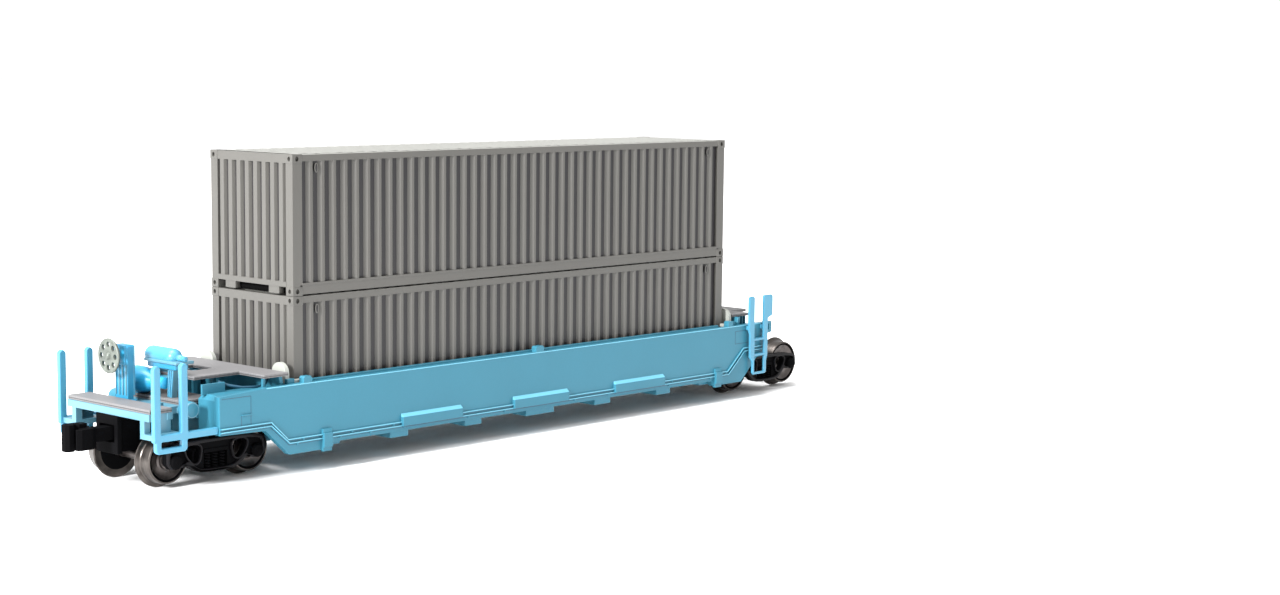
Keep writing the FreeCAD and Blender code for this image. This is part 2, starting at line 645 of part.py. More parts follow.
def wheelset(label, radius, x):
    """An axle with its two wheels, turned about its own centre line."""
    middle = ("0", "0")
    pieces = [rod("y", middle, "dims.axle_radius", ("-dims.gauge_back - 0.1", "dims.gauge_back + 0.1"),
                  sides=8),
              rod("y", middle, "dims.journal_radius", ("-dims.journal_end", "dims.journal_end"), sides=8)]
    for side in (-1, 1):
        flange = side_span(side, "dims.gauge_back", "dims.gauge_back + dims.flange_thick")
        tread = side_span(side, "dims.gauge_back + dims.flange_thick - 0.1", "dims.wheel_face")
        pieces.append(rod("y", middle, f"{radius} + dims.flange_depth", flange, sides=32))
        pieces.append(rod("y", middle, radius, tread, sides=32))
    finish(label, union(f"{label}_union", pieces), x=x, z=radius)


def frame_outline(axle, radius, inset):
    """One side frame, seen square on: pedestals over the journals and a basket for the springs."""
    right = [("1.9", f"1.0 + {inset}"), ("3.1", f"1.35 + {inset}"),
             (f"{axle} - 1.35", f"{radius} - 0.3 + {inset}"),
             (f"{axle} - 0.85", f"{radius} - 0.75 + {inset}"),
             (f"{axle} + 1.05 - {inset}", f"{radius} - 0.75 + {inset}"),
             (f"{axle} + 1.05 - {inset}", f"4.1 - {inset}"), (f"{axle} + 0.5 - {inset}", f"4.45 - {inset}"),
             ("3.4", f"dims.frame_top - {inset}")]
    left = [(f"-({x})", z) for x, z in right]
    return right + left[::-1]


def side_frame(label, side, radius, axle, centre):
    """A cast side frame: web, raised rim, windows, springs in the middle one, and bearing caps."""
    web = side_span(side, "dims.frame_inner", "dims.frame_web")
    rim = side_span(side, "dims.frame_web", "dims.frame_outer")
    windows = []
    for turn in (-1, 1):
        oval = (("2.35", "2.9"), ("2.8", "2.35"), ("3.4", "2.6"), ("4.05", "3.55"), ("3.7", "4.05"),
                ("2.6", "4.05"))
        windows.append([(f"{turn} * {x}", z) for x, z in oval])
    spring_window = [("-1.6", "1.5"), ("1.6", "1.5"), ("1.6", "3.3"), ("-1.6", "3.3")]
    pieces = [plate(f"{label}_web", "y", [frame_outline(axle, radius, "0")] + windows + [spring_window],
                    web),
              plate(f"{label}_rim", "y",
                    [frame_outline(axle, radius, "0"), frame_outline(axle, radius, "0.3")], rim)]
    for place in ("-1.0", "0", "1.0"):
        pieces.append(rod("z", (place, f"{side} * (dims.frame_web - 0.4)"), "0.42", ("1.4", "3.4"),
                          sides=6))
    holes = []
    for turn in (-1, 1):
        middle = (f"{turn} * {axle}", radius)
        pieces.append(rod("y", middle, "0.78",
                          side_span(side, "dims.frame_web - 0.2", "dims.frame_outer + 0.35"), sides=8))
        holes.append(rod("y", middle, "(dims.journal_radius + dims.running_gap) / cos(22.5 * 1deg)",
                         side_span(side, "dims.frame_inner - 0.3", "dims.journal_end + 0.05"), sides=8))
    finish(label, minus(union(f"{label}_union", pieces), holes, f"{label}_bored"), x=centre)


def truck(prefix, centre, radius, base):
    """A bolster on the kingpin, two side frames, and two wheelsets."""
    axle = f"{base} / 2"
    for name, side in SIDES:
        side_frame(f"{prefix}_side_{name}", side, radius, axle, centre)
    beam = block(("-1.3", "1.3"), ("-dims.frame_inner", "dims.frame_inner"), ("3.3", "4.1"))
    bowl = rod("z", ("0", "0"), "1.9", ("2.6", "dims.centre_plate_under - 0.1"), sides=12)
    hole = rod("z", ("0", "0"), "(dims.kingpin_radius + dims.running_gap) / cos(15 * 1deg)", ("2", "5"),
               sides=12)
    finish(f"{prefix}_bolster", minus(union(f"{prefix}_bolster_union", [beam, bowl]), [hole]), x=centre)
    for order, turn in ((1, -1), (2, 1)):
        wheelset(f"{prefix}_wheelset_{order}", radius, f"{centre} + {turn} * {axle}")


def grooves(body, name, side):
    """The hollows between the ribs of one long side, cut between the bottom and top rails."""
    first = "-dims.side_pitch * (dims.side_grooves - 1) / 2"
    face = f"{side} * dims.container_width / 2"
    floor = f"{side} * (dims.container_width / 2 - dims.groove_depth)"
    outline = [(f"{first} - 0.56", f"{face} + {side}"), (f"{first} - 0.56", face),
               (f"{first} - 0.28", floor), (f"{first} + 0.28", floor),
               (f"{first} + 0.56", face), (f"{first} + 0.56", f"{face} + {side}")]
    sketch = draw(body, f"{name}_sketch", "z", [outline], "dims.side_ribs_low")
    pocket = body.newObject("PartDesign::Pocket", name)
    pocket.Profile = sketch
    pocket.Reversed = True
    pocket.setExpression("Length", "dims.side_ribs_high - dims.side_ribs_low")
    document.recompute()
    pattern(body, pocket, "X", "dims.side_pitch * (dims.side_grooves - 1)", "dims.side_grooves")


def end_grooves(body, name):
    """The hollows between the ribs of the front end."""
    first = "-dims.end_pitch * (dims.end_grooves - 1) / 2"
    face = "-dims.container_length / 2"
    floor = f"{face} + dims.groove_depth"
    outline = [(f"{face} - 1", f"{first} - 0.42"), (face, f"{first} - 0.42"), (floor, f"{first} - 0.2"),
               (floor, f"{first} + 0.2"), (face, f"{first} + 0.42"), (f"{face} - 1", f"{first} + 0.42")]
    sketch = draw(body, f"{name}_sketch", "z", [outline], "dims.end_ribs_low")
    pocket = body.newObject("PartDesign::Pocket", name)
    pocket.Profile = sketch
    pocket.Reversed = True
    pocket.setExpression("Length", "dims.end_ribs_high - dims.end_ribs_low")
    document.recompute()
    pattern(body, pocket, "Y", "dims.end_pitch * (dims.end_grooves - 1)", "dims.end_grooves")


def container(label, floor):
    """A 40-foot box: ribbed sides and front, doors at the rear, rails, posts and corner castings."""
    length = "dims.container_length / 2"
    width = "dims.container_width / 2"
    height = "dims.container_height"
    body = document.addObject("PartDesign::Body", f"{label}_shell")
    shell = body.newObject("PartDesign::Pad", f"{label}_pad")
    inner_length = f"({length} - dims.casting_proud)"
    inner_width = f"({width} - dims.casting_proud)"
    shell.Profile = draw(body, f"{label}_plan", "z",
                         [[(f"-{inner_length}", f"-{inner_width}"), (inner_length, f"-{inner_width}"),
                           (inner_length, inner_width), (f"-{inner_length}", inner_width)]], "0.12")
    shell.setExpression("Length", f"{height} - 0.2")
    document.recompute()
    grooves(body, f"{label}_near_grooves", -1)
    grooves(body, f"{label}_far_grooves", 1)
    end_grooves(body, f"{label}_end_grooves")
    pieces = [body]
    cuts = [block(("-dims.container_length", f"-{length} + 0.6"), ("-3.1", "3.1"), ("-1", "0.75"))]
    for end in (-1, 1):
        for name, side in SIDES:
            for low, high in (("0", "1.05"), (f"{height} - 1.05", height)):
                pieces.append(block(end_span(end, f"{length} - dims.post_width", length),
                                    side_span(side, f"{width} - dims.post_depth", width), (low, high)))
                middle = f"({low} + {high}) / 2"
                cuts.append(block(end_span(end, f"{length} - 0.95", f"{length} - 0.45"),
                                  side_span(side, f"{width} - 0.3", f"{width} + 1"),
                                  (f"{middle} - 0.3", f"{middle} + 0.3")))
                cuts.append(block(end_span(end, f"{length} - 0.3", f"{length} + 1"),
                                  side_span(side, f"{width} - 0.9", f"{width} - 0.4"),
                                  (f"{middle} - 0.3", f"{middle} + 0.3")))
    cuts.append(block((f"{length} - 0.3", "dims.container_length"), ("-6.3", "6.3"), ("1.3", "15.3")))
    for y in ("-5.0", "-1.6", "1.6", "5.0"):
        pieces.append(block((f"{length} - 0.5", f"{length} - 0.04"), (f"{y} - 0.14", f"{y} + 0.14"),
                            ("1.0", "15.5")))
    for y in ("-3.3", "3.3"):
        pieces.append(block((f"{length} - 0.5", length), (f"{y} - 1.5", f"{y} + 1.5"), ("6.8", "7.05")))
    base = minus(union(f"{label}_frame", pieces[:9]), [union(f"{label}_cuts", cuts)])
    finish(label, union(f"{label}_union", [base] + pieces[9:]), z=floor)


def build():
    for alias, value in DRIVING:
        cell(alias, value)
    inner_end = "truck_centre + rear_wheelbase / 2 + rear_wheel_radius + flange_depth"
    cell("well_centre", f"=(coupler_reach - ({inner_end})) / 2")
    document.recompute()
    parts = SimpleNamespace(
        flanges=table("flange", ("well", "front", "rear", "inset"),
                      ((3.65, 5.9, 6.6, 0), (3.2, 5.5, 6.15, 0.2))),
        clamps=table("clamp", ("centre",), ((-34.9,), (34.9,))),
        rails=table("rail", ("centre", "half"), ((-18.55, 4.85), (0.1, 4.9), (18.7, 4.9))),
        tabs=table("tab", ("centre", "half"), ((-37.5, 0.6), (0.05, 0.7), (37.8, 0.5))),
        feet=table("foot", ("centre", "half"),
                   ((-23.6, 1.4), (-11.5, 1.4), (0.2, 2.5), (11.8, 1.5), (23.8, 1.4))))
    for name, side in SIDES:
        side_wall(f"side_wall_{name}", side, parts)
        end_rail(f"end_rail_{name}", side)
        ladder(f"ladder_{name}", side)
        guide(f"guide_front_{name}", -1, side)
        guide(f"guide_rear_{name}", 1, side)
    well_floor(parts)
    bulkhead("bulkhead_front", -1)
    bulkhead("bulkhead_rear", 1)
    end_sill("end_sill_front", -1, "dims.front_sill_end", "dims.truck_centre")
    end_sill("end_sill_rear", 1, "dims.truck_centre + 1.6", "43.6")
    deck("deck_front", -1, "dims.front_deck_half", "dims.front_deck_end", ("43.9", "46.9", "-0.5", "3.4"))
    deck("deck_rear", 1, "dims.rear_deck_half", "dims.rear_deck_end", None)
    columns = ("x", "y", "foot", "half")
    deck_posts("deck_posts_front", -1,
               table("front_post", columns, ((42.9, 8.2, 9.6, 0.2), (45.0, 1.8, 8.0, 0.3))))
    rear_posts = [(41.5 + 0.6 * count, 7.3, 9.6, 0.16) for count in range(4)] + [(46.2, 1.8, 8.0, 0.3)]
    deck_posts("deck_posts_rear", 1, table("rear_post", columns, rear_posts))
    platform()
    brake_stand()
    brake_wheel()
    reservoir()
    brake_cylinder()
    coupler()
    truck("truck_front", "-dims.truck_centre", "dims.front_wheel_radius", "dims.front_wheelbase")
    truck("truck_rear", "dims.truck_centre", "dims.rear_wheel_radius", "dims.rear_wheelbase")
    container("container_lower", "dims.container_floor")
    container("container_upper", "dims.container_floor + dims.container_height + dims.stack_gap")
    document.recompute()


def write():
    for thing in document.Objects:
        if "Invalid" in thing.State or "Error" in thing.State:
            raise RuntimeError(f"{thing.Label} did not build: {thing.State}")
    for piece in finished:
        if piece.Shape.isNull() or not piece.Shape.isValid() or not piece.Shape.Solids:
            raise RuntimeError(f"{piece.Label} has no valid solid")
    os.makedirs("parts", exist_ok=True)
    for piece in finished:
        piece.Shape.exportStep(f"parts/{piece.Label}.step")
        print(piece.Label, len(piece.Shape.Solids), round(piece.Shape.Volume, 2), piece.Shape.BoundBox)


build()
write()
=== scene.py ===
# Model double-stack well car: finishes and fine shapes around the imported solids
import json
import math

import bmesh
import bpy
from mathutils import Matrix, Vector


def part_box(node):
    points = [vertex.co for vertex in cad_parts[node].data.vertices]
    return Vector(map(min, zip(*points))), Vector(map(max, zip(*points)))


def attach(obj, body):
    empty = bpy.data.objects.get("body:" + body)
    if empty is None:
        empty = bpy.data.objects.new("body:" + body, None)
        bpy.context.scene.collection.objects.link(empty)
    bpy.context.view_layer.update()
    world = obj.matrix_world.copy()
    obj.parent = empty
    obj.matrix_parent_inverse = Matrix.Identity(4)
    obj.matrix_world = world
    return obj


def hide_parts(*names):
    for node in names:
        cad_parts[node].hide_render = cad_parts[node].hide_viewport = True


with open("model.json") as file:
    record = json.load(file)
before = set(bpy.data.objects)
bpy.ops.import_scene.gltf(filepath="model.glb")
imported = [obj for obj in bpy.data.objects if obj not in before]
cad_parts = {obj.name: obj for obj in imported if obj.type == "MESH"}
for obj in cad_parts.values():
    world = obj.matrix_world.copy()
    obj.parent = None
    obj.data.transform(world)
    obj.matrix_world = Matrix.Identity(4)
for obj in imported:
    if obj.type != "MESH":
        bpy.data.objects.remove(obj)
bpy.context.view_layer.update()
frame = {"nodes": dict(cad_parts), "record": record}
nodes = frame["nodes"]
mm = 0.001
straight = math.pi / 2
sides = (("near", -1), ("far", 1))

# the middle of the well and the top of the rail, from which the car's own sizes are told
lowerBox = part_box("container_lower")
wellCentre = (lowerBox[0].x + lowerBox[1].x) / 2
railTop = next(mount["pos_m"][2] for mount in frame["record"]["mounts"] if mount["name"] == "track")


def at(x, y, z):  # millimetres on the car to metres in the frame
    return Vector((wellCentre + x * mm, y * mm, railTop + z * mm))


class Sock:  # a shader socket that takes part in plain sums
    def __init__(self, finish, link):
        self.finish = finish
        self.link = link

    def maths(self, operation, *others, swap=False):
        values = [self, *others]
        if swap:
            values = values[::-1]
        return self.finish.node("ShaderNodeMath", {"operation": operation}, dict(enumerate(values)))

    def __add__(self, other):
        return self.maths("ADD", other)

    def __sub__(self, other):
        return self.maths("SUBTRACT", other)

    def __rsub__(self, other):
        return self.maths("SUBTRACT", other, swap=True)

    def __mul__(self, other):
        return self.maths("MULTIPLY", other)

    __radd__ = __add__
    __rmul__ = __mul__


class Finish:  # one procedural material on object coordinates
    def __init__(self, name, roughness, **fixed):
        self.material = bpy.data.materials.new(name)
        self.material.use_nodes = True
        self.tree = self.material.node_tree
        self.shader = self.tree.nodes["Principled BSDF"]
        self.shader.inputs["Roughness"].default_value = roughness
        for socket, value in fixed.items():
            self.shader.inputs[socket.replace("_", " ")].default_value = value
        self.place = self.node("ShaderNodeTexCoord", out="Object")

    def node(self, kind, settings=None, values=None, out=0):
        made = self.tree.nodes.new(kind)
        for name, value in (settings or {}).items():
            if name == "stops":
                ramp = made.color_ramp
                for index, (position, colour) in enumerate(value):
                    stop = ramp.elements[index] if index < 2 else ramp.elements.new(position)
                    stop.position = position
                    stop.color = (*colour, 1)
            else:
                setattr(made, name, value)
        for socket, value in (values or {}).items():
            self.feed(made.inputs[socket], value)
        return Sock(self, made.outputs[out])

    def feed(self, socket, value):
        if isinstance(value, Sock):
            self.tree.links.new(value.link, socket)
        else:
            socket.default_value = value

    def noise(self, scale, detail=3, stretch=(1, 1, 1)):
        spread = self.node("ShaderNodeMapping", None, {"Vector": self.place, "Scale": stretch})
        values = {"Vector": spread, "Scale": scale, "Detail": detail}
        return self.node("ShaderNodeTexNoise", None, values, "Fac")

    def ramp(self, value, stops):
        return self.node("ShaderNodeValToRGB", {"stops": stops}, {"Fac": value})

    def mix(self, share, first, second):
        values = {"Factor": share, 6: first, 7: second}  # 6 and 7 are the two colour sockets
        return self.node("ShaderNodeMix", {"data_type": "RGBA"}, values, 2)

    def axis(self, letter):
        return self.node("ShaderNodeSeparateXYZ", None, {"Vector": self.place}, letter)

    def set(self, socket, value):
        self.feed(self.shader.inputs[socket], value)

    def bump(self, height, strength, distance):
        values = {"Height": height, "Strength": strength, "Distance": distance}
        self.set("Normal", self.node("ShaderNodeBump", None, values, "Normal"))


def shade(colour, factor):
    return tuple(min(1, channel * factor) for channel in colour)


def plastic(name, colour, roughness, cloud=0.05, bump=0.12, **fixed):
    # moulded plastic: soft clouding in the colour, a fine matt grain, faint flow marks in the gloss
    made = Finish(name, roughness, **fixed)
    clouding = made.noise(90, 4)
    flow = made.noise(260, 5, (0.4, 1, 1))
    fine = made.noise(6500, 2)
    dust = made.noise(2400, 2)
    stops = [(0.3, shade(colour, 1 - cloud)), (0.7, shade(colour, 1 + cloud))]
    tone = made.ramp(clouding * 0.7 + fine * 0.3, stops)
    specks = made.ramp(dust, [(0.66, (0, 0, 0)), (0.8, (1, 1, 1))])
    made.set("Base Color", made.mix(specks * 0.10, tone, (*shade(colour, 1.25), 1)))
    made.set("Roughness", flow * 0.14 + fine * 0.06 + (roughness - 0.10))
    made.bump(fine * 0.5 + flow * 0.5, bump, 0.03 * mm)
    return made.material


boards = {
    "colour": (0.130, 0.127, 0.130),
    "barPitch": 0.62, "rowPitch": 0.44,  # of the crossed tread
    "shadeLines": (8.62, 11.16), "shadeLineHalf": 0.055,  # heights of the dark bands painted as shade along the edges of platform and decks
}


def gratedBoard(name):
    # walkway plastic with a fine crossed tread on it and a dark band along its edge, painted shade of an edge
    # groove
    colour = boards["colour"]
    made = Finish(name, 0.55)
    clouding = made.noise(110, 4)
    fine = made.noise(6500, 2)
    x, y, z = (made.axis(letter) for letter in "XYZ")
    bars = (x * (2 * math.pi / (boards["barPitch"] * mm))).maths("SINE")
    rows = (y * (2 * math.pi / (boards["rowPitch"] * mm))).maths("SINE")
    tread = bars * rows * 0.5 + 0.5
    stops = [(0.3, shade(colour, 0.88)), (0.7, shade(colour, 1.1))]
    tone = made.ramp(clouding * 0.45 + fine * 0.2 + tread * 0.35, stops)
    shadeLines = 0.0
    # painted shade: a dark band at each of these heights
    for height in boards["shadeLines"]:
        away = (z - (railTop + height * mm)).maths("ABSOLUTE")
        shadeLines = away.maths("LESS_THAN", boards["shadeLineHalf"] * mm) + shadeLines
    made.set("Base Color", made.mix(shadeLines, tone, (*shade(colour, 0.3), 1)))
    made.set("Roughness", fine * 0.12 + clouding * 0.1 + 0.45)
    made.bump(tread * 0.6 + fine * 0.4, 0.3, 0.04 * mm)
    return made.material


def turnedMetal(name, metallic, marks, stretch, grimeScale, share, tones, grimeGloss, bump):
    # bright or blackened metal with turning marks and some grime
    made = Finish(name, 0.3, Metallic=metallic)
    turned = made.noise(marks, 3, stretch)
    grime = made.noise(grimeScale, 4)
    dark, light = tones
    made.set("Base Color", made.ramp(grime * share + turned * (1 - share), [(0.3, dark), (0.7, light)]))
    made.set("Roughness", grime * grimeGloss + 0.2)
    made.bump(turned, bump, 0.02 * mm)
    return made.material


def brushedSilver(name):
    # the brake wheel's dull silver, a little green
    made = Finish(name, 0.42, Metallic=0.35)
    clouding = made.noise(700, 4)
    fine = made.noise(9000, 2)
    stops = [(0.3, (0.08, 0.09, 0.079)), (0.72, (0.145, 0.162, 0.141))]
    made.set("Base Color", made.ramp(clouding, stops))
    made.set("Roughness", clouding * 0.2 + 0.3)
    made.bump(fine, 0.2, 0.03 * mm)
    return made.material


def containerPlastic(name, colour):
    # matt grey with wide soft tones and faint upright streaks
    made = Finish(name, 0.5)
    wide = made.noise(45, 4, (0.5, 1, 1.6))
    streak = made.noise(700, 3, (1, 1, 0.05))
    fine = made.noise(7000, 2)
    stops = [(0.32, shade(colour, 0.93)), (0.68, shade(colour, 1.07))]
    made.set("Base Color", made.ramp(wide * 0.55 + streak * 0.3 + fine * 0.15, stops))
    made.set("Roughness", streak * 0.12 + fine * 0.1 + 0.38)
    made.bump(fine * 0.7 + streak * 0.3, 0.14, 0.03 * mm)
    return made.material


plastics = {  # colour, roughness and what else is told
    "bodyBlue": ((0.030, 0.150, 0.214), 0.36, {"bump": 0.10, "Specular_IOR_Level": 0.25}),
    # painted highlight: a light blue for the wall's top edge, the flange tops and the guard slopes
    "highlightBlue": ((0.11, 0.36, 0.48), 0.36, {}),
    # painted shade: a dark blue for the panel lines, the strips under flanges and guards, and the hose under
    # the walkway
    "shadeBlue": ((0.012, 0.060, 0.10), 0.5, {}),
    "railBlue": ((0.052, 0.225, 0.34), 0.34, {
        "cloud": 0.03, "Subsurface_Weight": 0.15, "Subsurface_Scale": 0.5 * mm,
        "Subsurface_Radius": (0.1, 0.5, 0.7),
    }),
    # painted shade: the rail plastic a little darker and greyer, for the platform frame, cradle, tank tray
    # and stand ridges
    "shadedFrameBlue": ((0.078, 0.20, 0.265), 0.34, {"cloud": 0.03}),
    # painted shade: the rail plastic darker and deeper blue, for the brake stand, cylinder saddle and the
    # block under the tank
    "shadedStandBlue": ((0.018, 0.20, 0.345), 0.34, {"cloud": 0.06}),
    # painted light: the rail plastic brighter, for the brake cylinder, standing in for the light that falls
    # on it
    "litDrumBlue": ((0.022, 0.30, 0.52), 0.34, {"cloud": 0.06}),
    "guideCream": ((0.29, 0.30, 0.275), 0.4, {}),
    "truckBlack": ((0.003, 0.003, 0.0034), 0.6, {"cloud": 0.2, "bump": 0.2, "Specular_IOR_Level": 0.01}),
    # painted highlight: a lighter black for the raised lips and eye rims of the truck frames
    "truckEdge": ((0.007, 0.0065, 0.0075), 0.5, {"cloud": 0.2, "Specular_IOR_Level": 0.1}),
    "deepShadow": ((0.003, 0.003, 0.003), 0.8, {"Specular_IOR_Level": 0.02}),
}
containerGreys = {
    "boxGrey": (0.073, 0.070, 0.0635),
    # painted shade: the dark grey of the groove floors and of the hollows inside the rings
    "grooveShadeGrey": (0.0095, 0.0085, 0.010),
    "roofGrey": (0.27, 0.27, 0.252),
}
wheelMetals = {
    "faceMetal": {
        "metallic": 0.85, "marks": 1500, "stretch": (1, 0.2, 1), "grimeScale": 500, "share": 0.7,
        "tones": ((0.03, 0.026, 0.025), (0.12, 0.105, 0.10)), "grimeGloss": 0.2, "bump": 0.15,
    },
    "treadSteel": {
        "metallic": 1.0, "marks": 1800, "stretch": (0.25, 6, 0.25), "grimeScale": 420, "share": 0.6,
        "tones": ((0.025, 0.021, 0.019), (0.15, 0.135, 0.125)), "grimeGloss": 0.25, "bump": 0.25,
    },
}
finishes = {name: plastic(name, colour, gloss, **more) for name, (colour, gloss, more) in plastics.items()}
finishes.update({name: containerPlastic(name, colour) for name, colour in containerGreys.items()})
finishes.update({name: turnedMetal(name, **look) for name, look in wheelMetals.items()})
finishes.update({"boardGrey": gratedBoard("boardGrey"), "wheelSilver": brushedSilver("wheelSilver")})
print("finishes ready:", len(finishes))


def around(count):  # even turns of a full circle
    return [2 * math.pi * step / count for step in range(count)]


def smoothed(mesh, angle=35):
    mesh.polygons.foreach_set("use_smooth", [True] * len(mesh.polygons))
    mesh.set_sharp_from_angle(angle=math.radians(angle))
    return mesh


def written(shape, angle=35):
    mesh = bpy.data.meshes.new("shape")
    shape.to_mesh(mesh)
    shape.free()
    return smoothed(mesh, angle)


def welded(mesh):
    # doubles merged, and every face turned outwards
    shape = bmesh.new()
    shape.from_mesh(mesh)
    bmesh.ops.remove_doubles(shape, verts=shape.verts, dist=1e-7)
    bmesh.ops.recalc_face_normals(shape, faces=shape.faces)
    shape.to_mesh(mesh)
    shape.free()
    return mesh


def linked(data, name="holder"):
    # a new object in the scene, such as one that carries modifiers for a while
    made = bpy.data.objects.new(name, data)
    bpy.context.scene.collection.objects.link(made)
    return made


def settled(holder):
    # the plain mesh that the working object shows
    seen = bpy.context.evaluated_depsgraph_get()
    mesh = bpy.data.meshes.new_from_object(holder.evaluated_get(seen), depsgraph=seen)
    holder.modifiers.clear()
    bpy.data.objects.remove(holder)
    return mesh


def block(one, other, bevel=0.0, segments=2):
    # a box between two corners told in millimetres, with rounded edges
    shape = bmesh.new()
    bmesh.ops.create_cube(shape, size=1)
    low = at(*map(min, one, other))
    size = at(*map(max, one, other)) - low
    for point in shape.verts:
        share = point.co + Vector((0.5, 0.5, 0.5))
        point.co = low + Vector((share.x * size.x, share.y * size.y, share.z * size.z))
    if bevel:
        width = min(bevel * mm, 0.45 * min(size))
        bmesh.ops.bevel(shape, geom=shape.edges[:], offset=width, segments=segments, profile=0.5,
                        affect="EDGES")
    bmesh.ops.recalc_face_normals(shape, faces=shape.faces)
    return written(shape)


def lathe(profile, centre, axis="Y", steps=32, angle=32, side=1):
    # turns an outline of (along, radius) pairs in millimetres, closed at both ends, about an axis
    shape = bmesh.new()
    base = at(*centre)
    x, y, z = Matrix.Identity(3)
    along, u, v = {"X": (x, y, z), "Y": (y, z, x)}[axis]
    rings = []
    for distance, radius in profile:
        middle = base + along * (side * distance * mm)
        if radius < 1e-6:
            rings.append([shape.verts.new(middle)])
            continue
        rings.append([shape.verts.new(middle + (u * math.cos(t) + v * math.sin(t)) * radius * mm)
                      for t in around(steps)])
    for first, second in zip(rings, rings[1:]):
        for step in range(steps):
            after = (step + 1) % steps
            if len(first) == 1:
                shape.faces.new((first[0], second[step], second[after]))
            elif len(second) == 1:
                shape.faces.new((first[step], second[0], first[after]))
            else:
                shape.faces.new((first[step], second[step], second[after], first[after]))
    bmesh.ops.recalc_face_normals(shape, faces=shape.faces)
    return written(shape, angle)


def openLathe(profile, centre, side, steps=72):
    # part of a surface turned about the wheel's axle, facing away from the wheel's middle
    shape = bmesh.new()
    base = at(*centre)
    rings = []
    for distance, radius in profile:
        ring = [Vector((math.sin(t) * radius, side * distance, math.cos(t) * radius)) for t in around(steps)]
        rings.append([shape.verts.new(base + place * mm) for place in ring])
    for first, second in zip(rings, rings[1:]):
        for step in range(steps):
            after = (step + 1) % steps
            corners = (first[step], first[after], second[after], second[step])
            shape.faces.new(corners if side < 0 else corners[::-1])
    return written(shape, 30)


def curved(points, rounds=2):
    # rounds a closed outline by cutting its corners
    for turn in range(rounds):
        cut = []
        for (x0, y0), (x1, y1) in zip(points, points[1:] + points[:1]):
            cut.append((x0 * 0.75 + x1 * 0.25, y0 * 0.75 + y1 * 0.25))
            cut.append((x0 * 0.25 + x1 * 0.75, y0 * 0.25 + y1 * 0.75))
        points = cut
    return points


def oval(x, z, wide, high, count):
    # an outline round a middle, from its two half widths
    return [(x + wide * math.cos(t), z + high * math.sin(t)) for t in around(count)]


def cutout(outlines, low, high, axis="Y", bevel=0.06):
    # a flat shape with holes, drawn in millimetres square to an axis, thick and with rounded edges
    line = bpy.data.curves.new("outline", "CURVE")
    line.dimensions = "2D"
    line.fill_mode = "BOTH"
    line.extrude = abs(high - low) * mm / 2 - bevel * mm
    line.bevel_depth = bevel * mm
    line.bevel_resolution = 1
    line.offset = -bevel * mm
    for outline in outlines:
        spline = line.splines.new("POLY")
        spline.points.add(len(outline) - 1)
        spline.use_cyclic_u = True
        for point, (u, v) in zip(spline.points, outline):
            point.co = (u * mm, v * mm, 0, 1)
    made = welded(settled(linked(line)))
    middle = (low + high) / 2
    turned, offset = {
        "X": (Matrix(((0, 0, 1), (1, 0, 0), (0, 1, 0))), at(middle, 0, 0)),
        "Y": (Matrix(((1, 0, 0), (0, 0, -1), (0, 1, 0))), at(0, middle, 0)),
        "Z": (Matrix.Identity(3), at(0, 0, middle)),
    }[axis]
    made.transform(Matrix.Translation(offset) @ turned.to_4x4())
    return smoothed(made, 40)


def pipe(points, radius, steps=10, closed=False):
    # a round bar through points told in millimetres
    line = bpy.data.curves.new("bar", "CURVE")
    line.dimensions = "3D"
    line.bevel_depth = radius * mm
    line.bevel_resolution = max(1, steps // 4)
    line.use_fill_caps = True
    spline = line.splines.new("POLY")
    spline.points.add(len(points) - 1)
    spline.use_cyclic_u = closed
    for point, place in zip(spline.points, points):
        point.co = (*at(*place), 1)
    return smoothed(welded(settled(linked(line))), 50)


def cutAway(mesh, tool):
    # takes one mesh out of another
    holder = linked(mesh)
    knife = linked(tool, "knife")
    cut = holder.modifiers.new("cut", "BOOLEAN")
    cut.object = knife
    cut.operation = "DIFFERENCE"
    cut.solver = "EXACT"
    made = settled(holder)
    bpy.data.objects.remove(knife)
    return smoothed(made)


def softened(name, width, segments=2):
    # a copy of a solid whose sharp edges are rounded as a mould leaves them
    shape = bmesh.new()
    shape.from_mesh(nodes[name].data)
    bmesh.ops.remove_doubles(shape, verts=shape.verts, dist=2e-6)
    bmesh.ops.dissolve_limit(shape, angle_limit=math.radians(2), verts=shape.verts, edges=shape.edges)
    holder = linked(written(shape, 38))
    bevel = holder.modifiers.new("edges", "BEVEL")
    bevel.width = width * mm
    bevel.segments = segments
    bevel.limit_method = "ANGLE"
    bevel.angle_limit = math.radians(25)
    bevel.miter_outer = "MITER_ARC"
    bevel.use_clamp_overlap = True
    bevel.harden_normals = True
    return settled(holder)


def evened(mesh):
    # wide faces keep their own normals, and the rounding shows only along the edges
    holder = linked(mesh)
    even = holder.modifiers.new("even", "WEIGHTED_NORMAL")
    even.keep_sharp = True
    return settled(holder)


def joined(parts):
    # one mesh out of all the parts, each with its finish; a single part keeps its own shading
    if len(parts) == 1:
        made, coat = parts[0]
        made.materials.clear()
        made.materials.append(finishes[coat])
        return made
    shape = bmesh.new()
    used = []
    for mesh, coat in parts:
        before = len(shape.faces)
        shape.from_mesh(mesh)
        shape.faces.ensure_lookup_table()
        if coat not in used:
            used.append(coat)
        for face in shape.faces[before:]:
            face.material_index = used.index(coat)
    made = bpy.data.meshes.new("joined")
    shape.to_mesh(made)
    shape.free()
    for coat in used:
        made.materials.append(finishes[coat])
    return made


def assemble(name, body, parts, stands=()):
    # makes one piece of the parts, which rides on a body and stands for the named solids
    made = evened(joined(parts))
    made.name = name
    piece = linked(made, name)
    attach(piece, body)
    if stands:
        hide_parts(*stands)


def dress(name, body, parts):
    # the piece that stands for one solid
    assemble(f"{name}_finish", body, parts, [name])


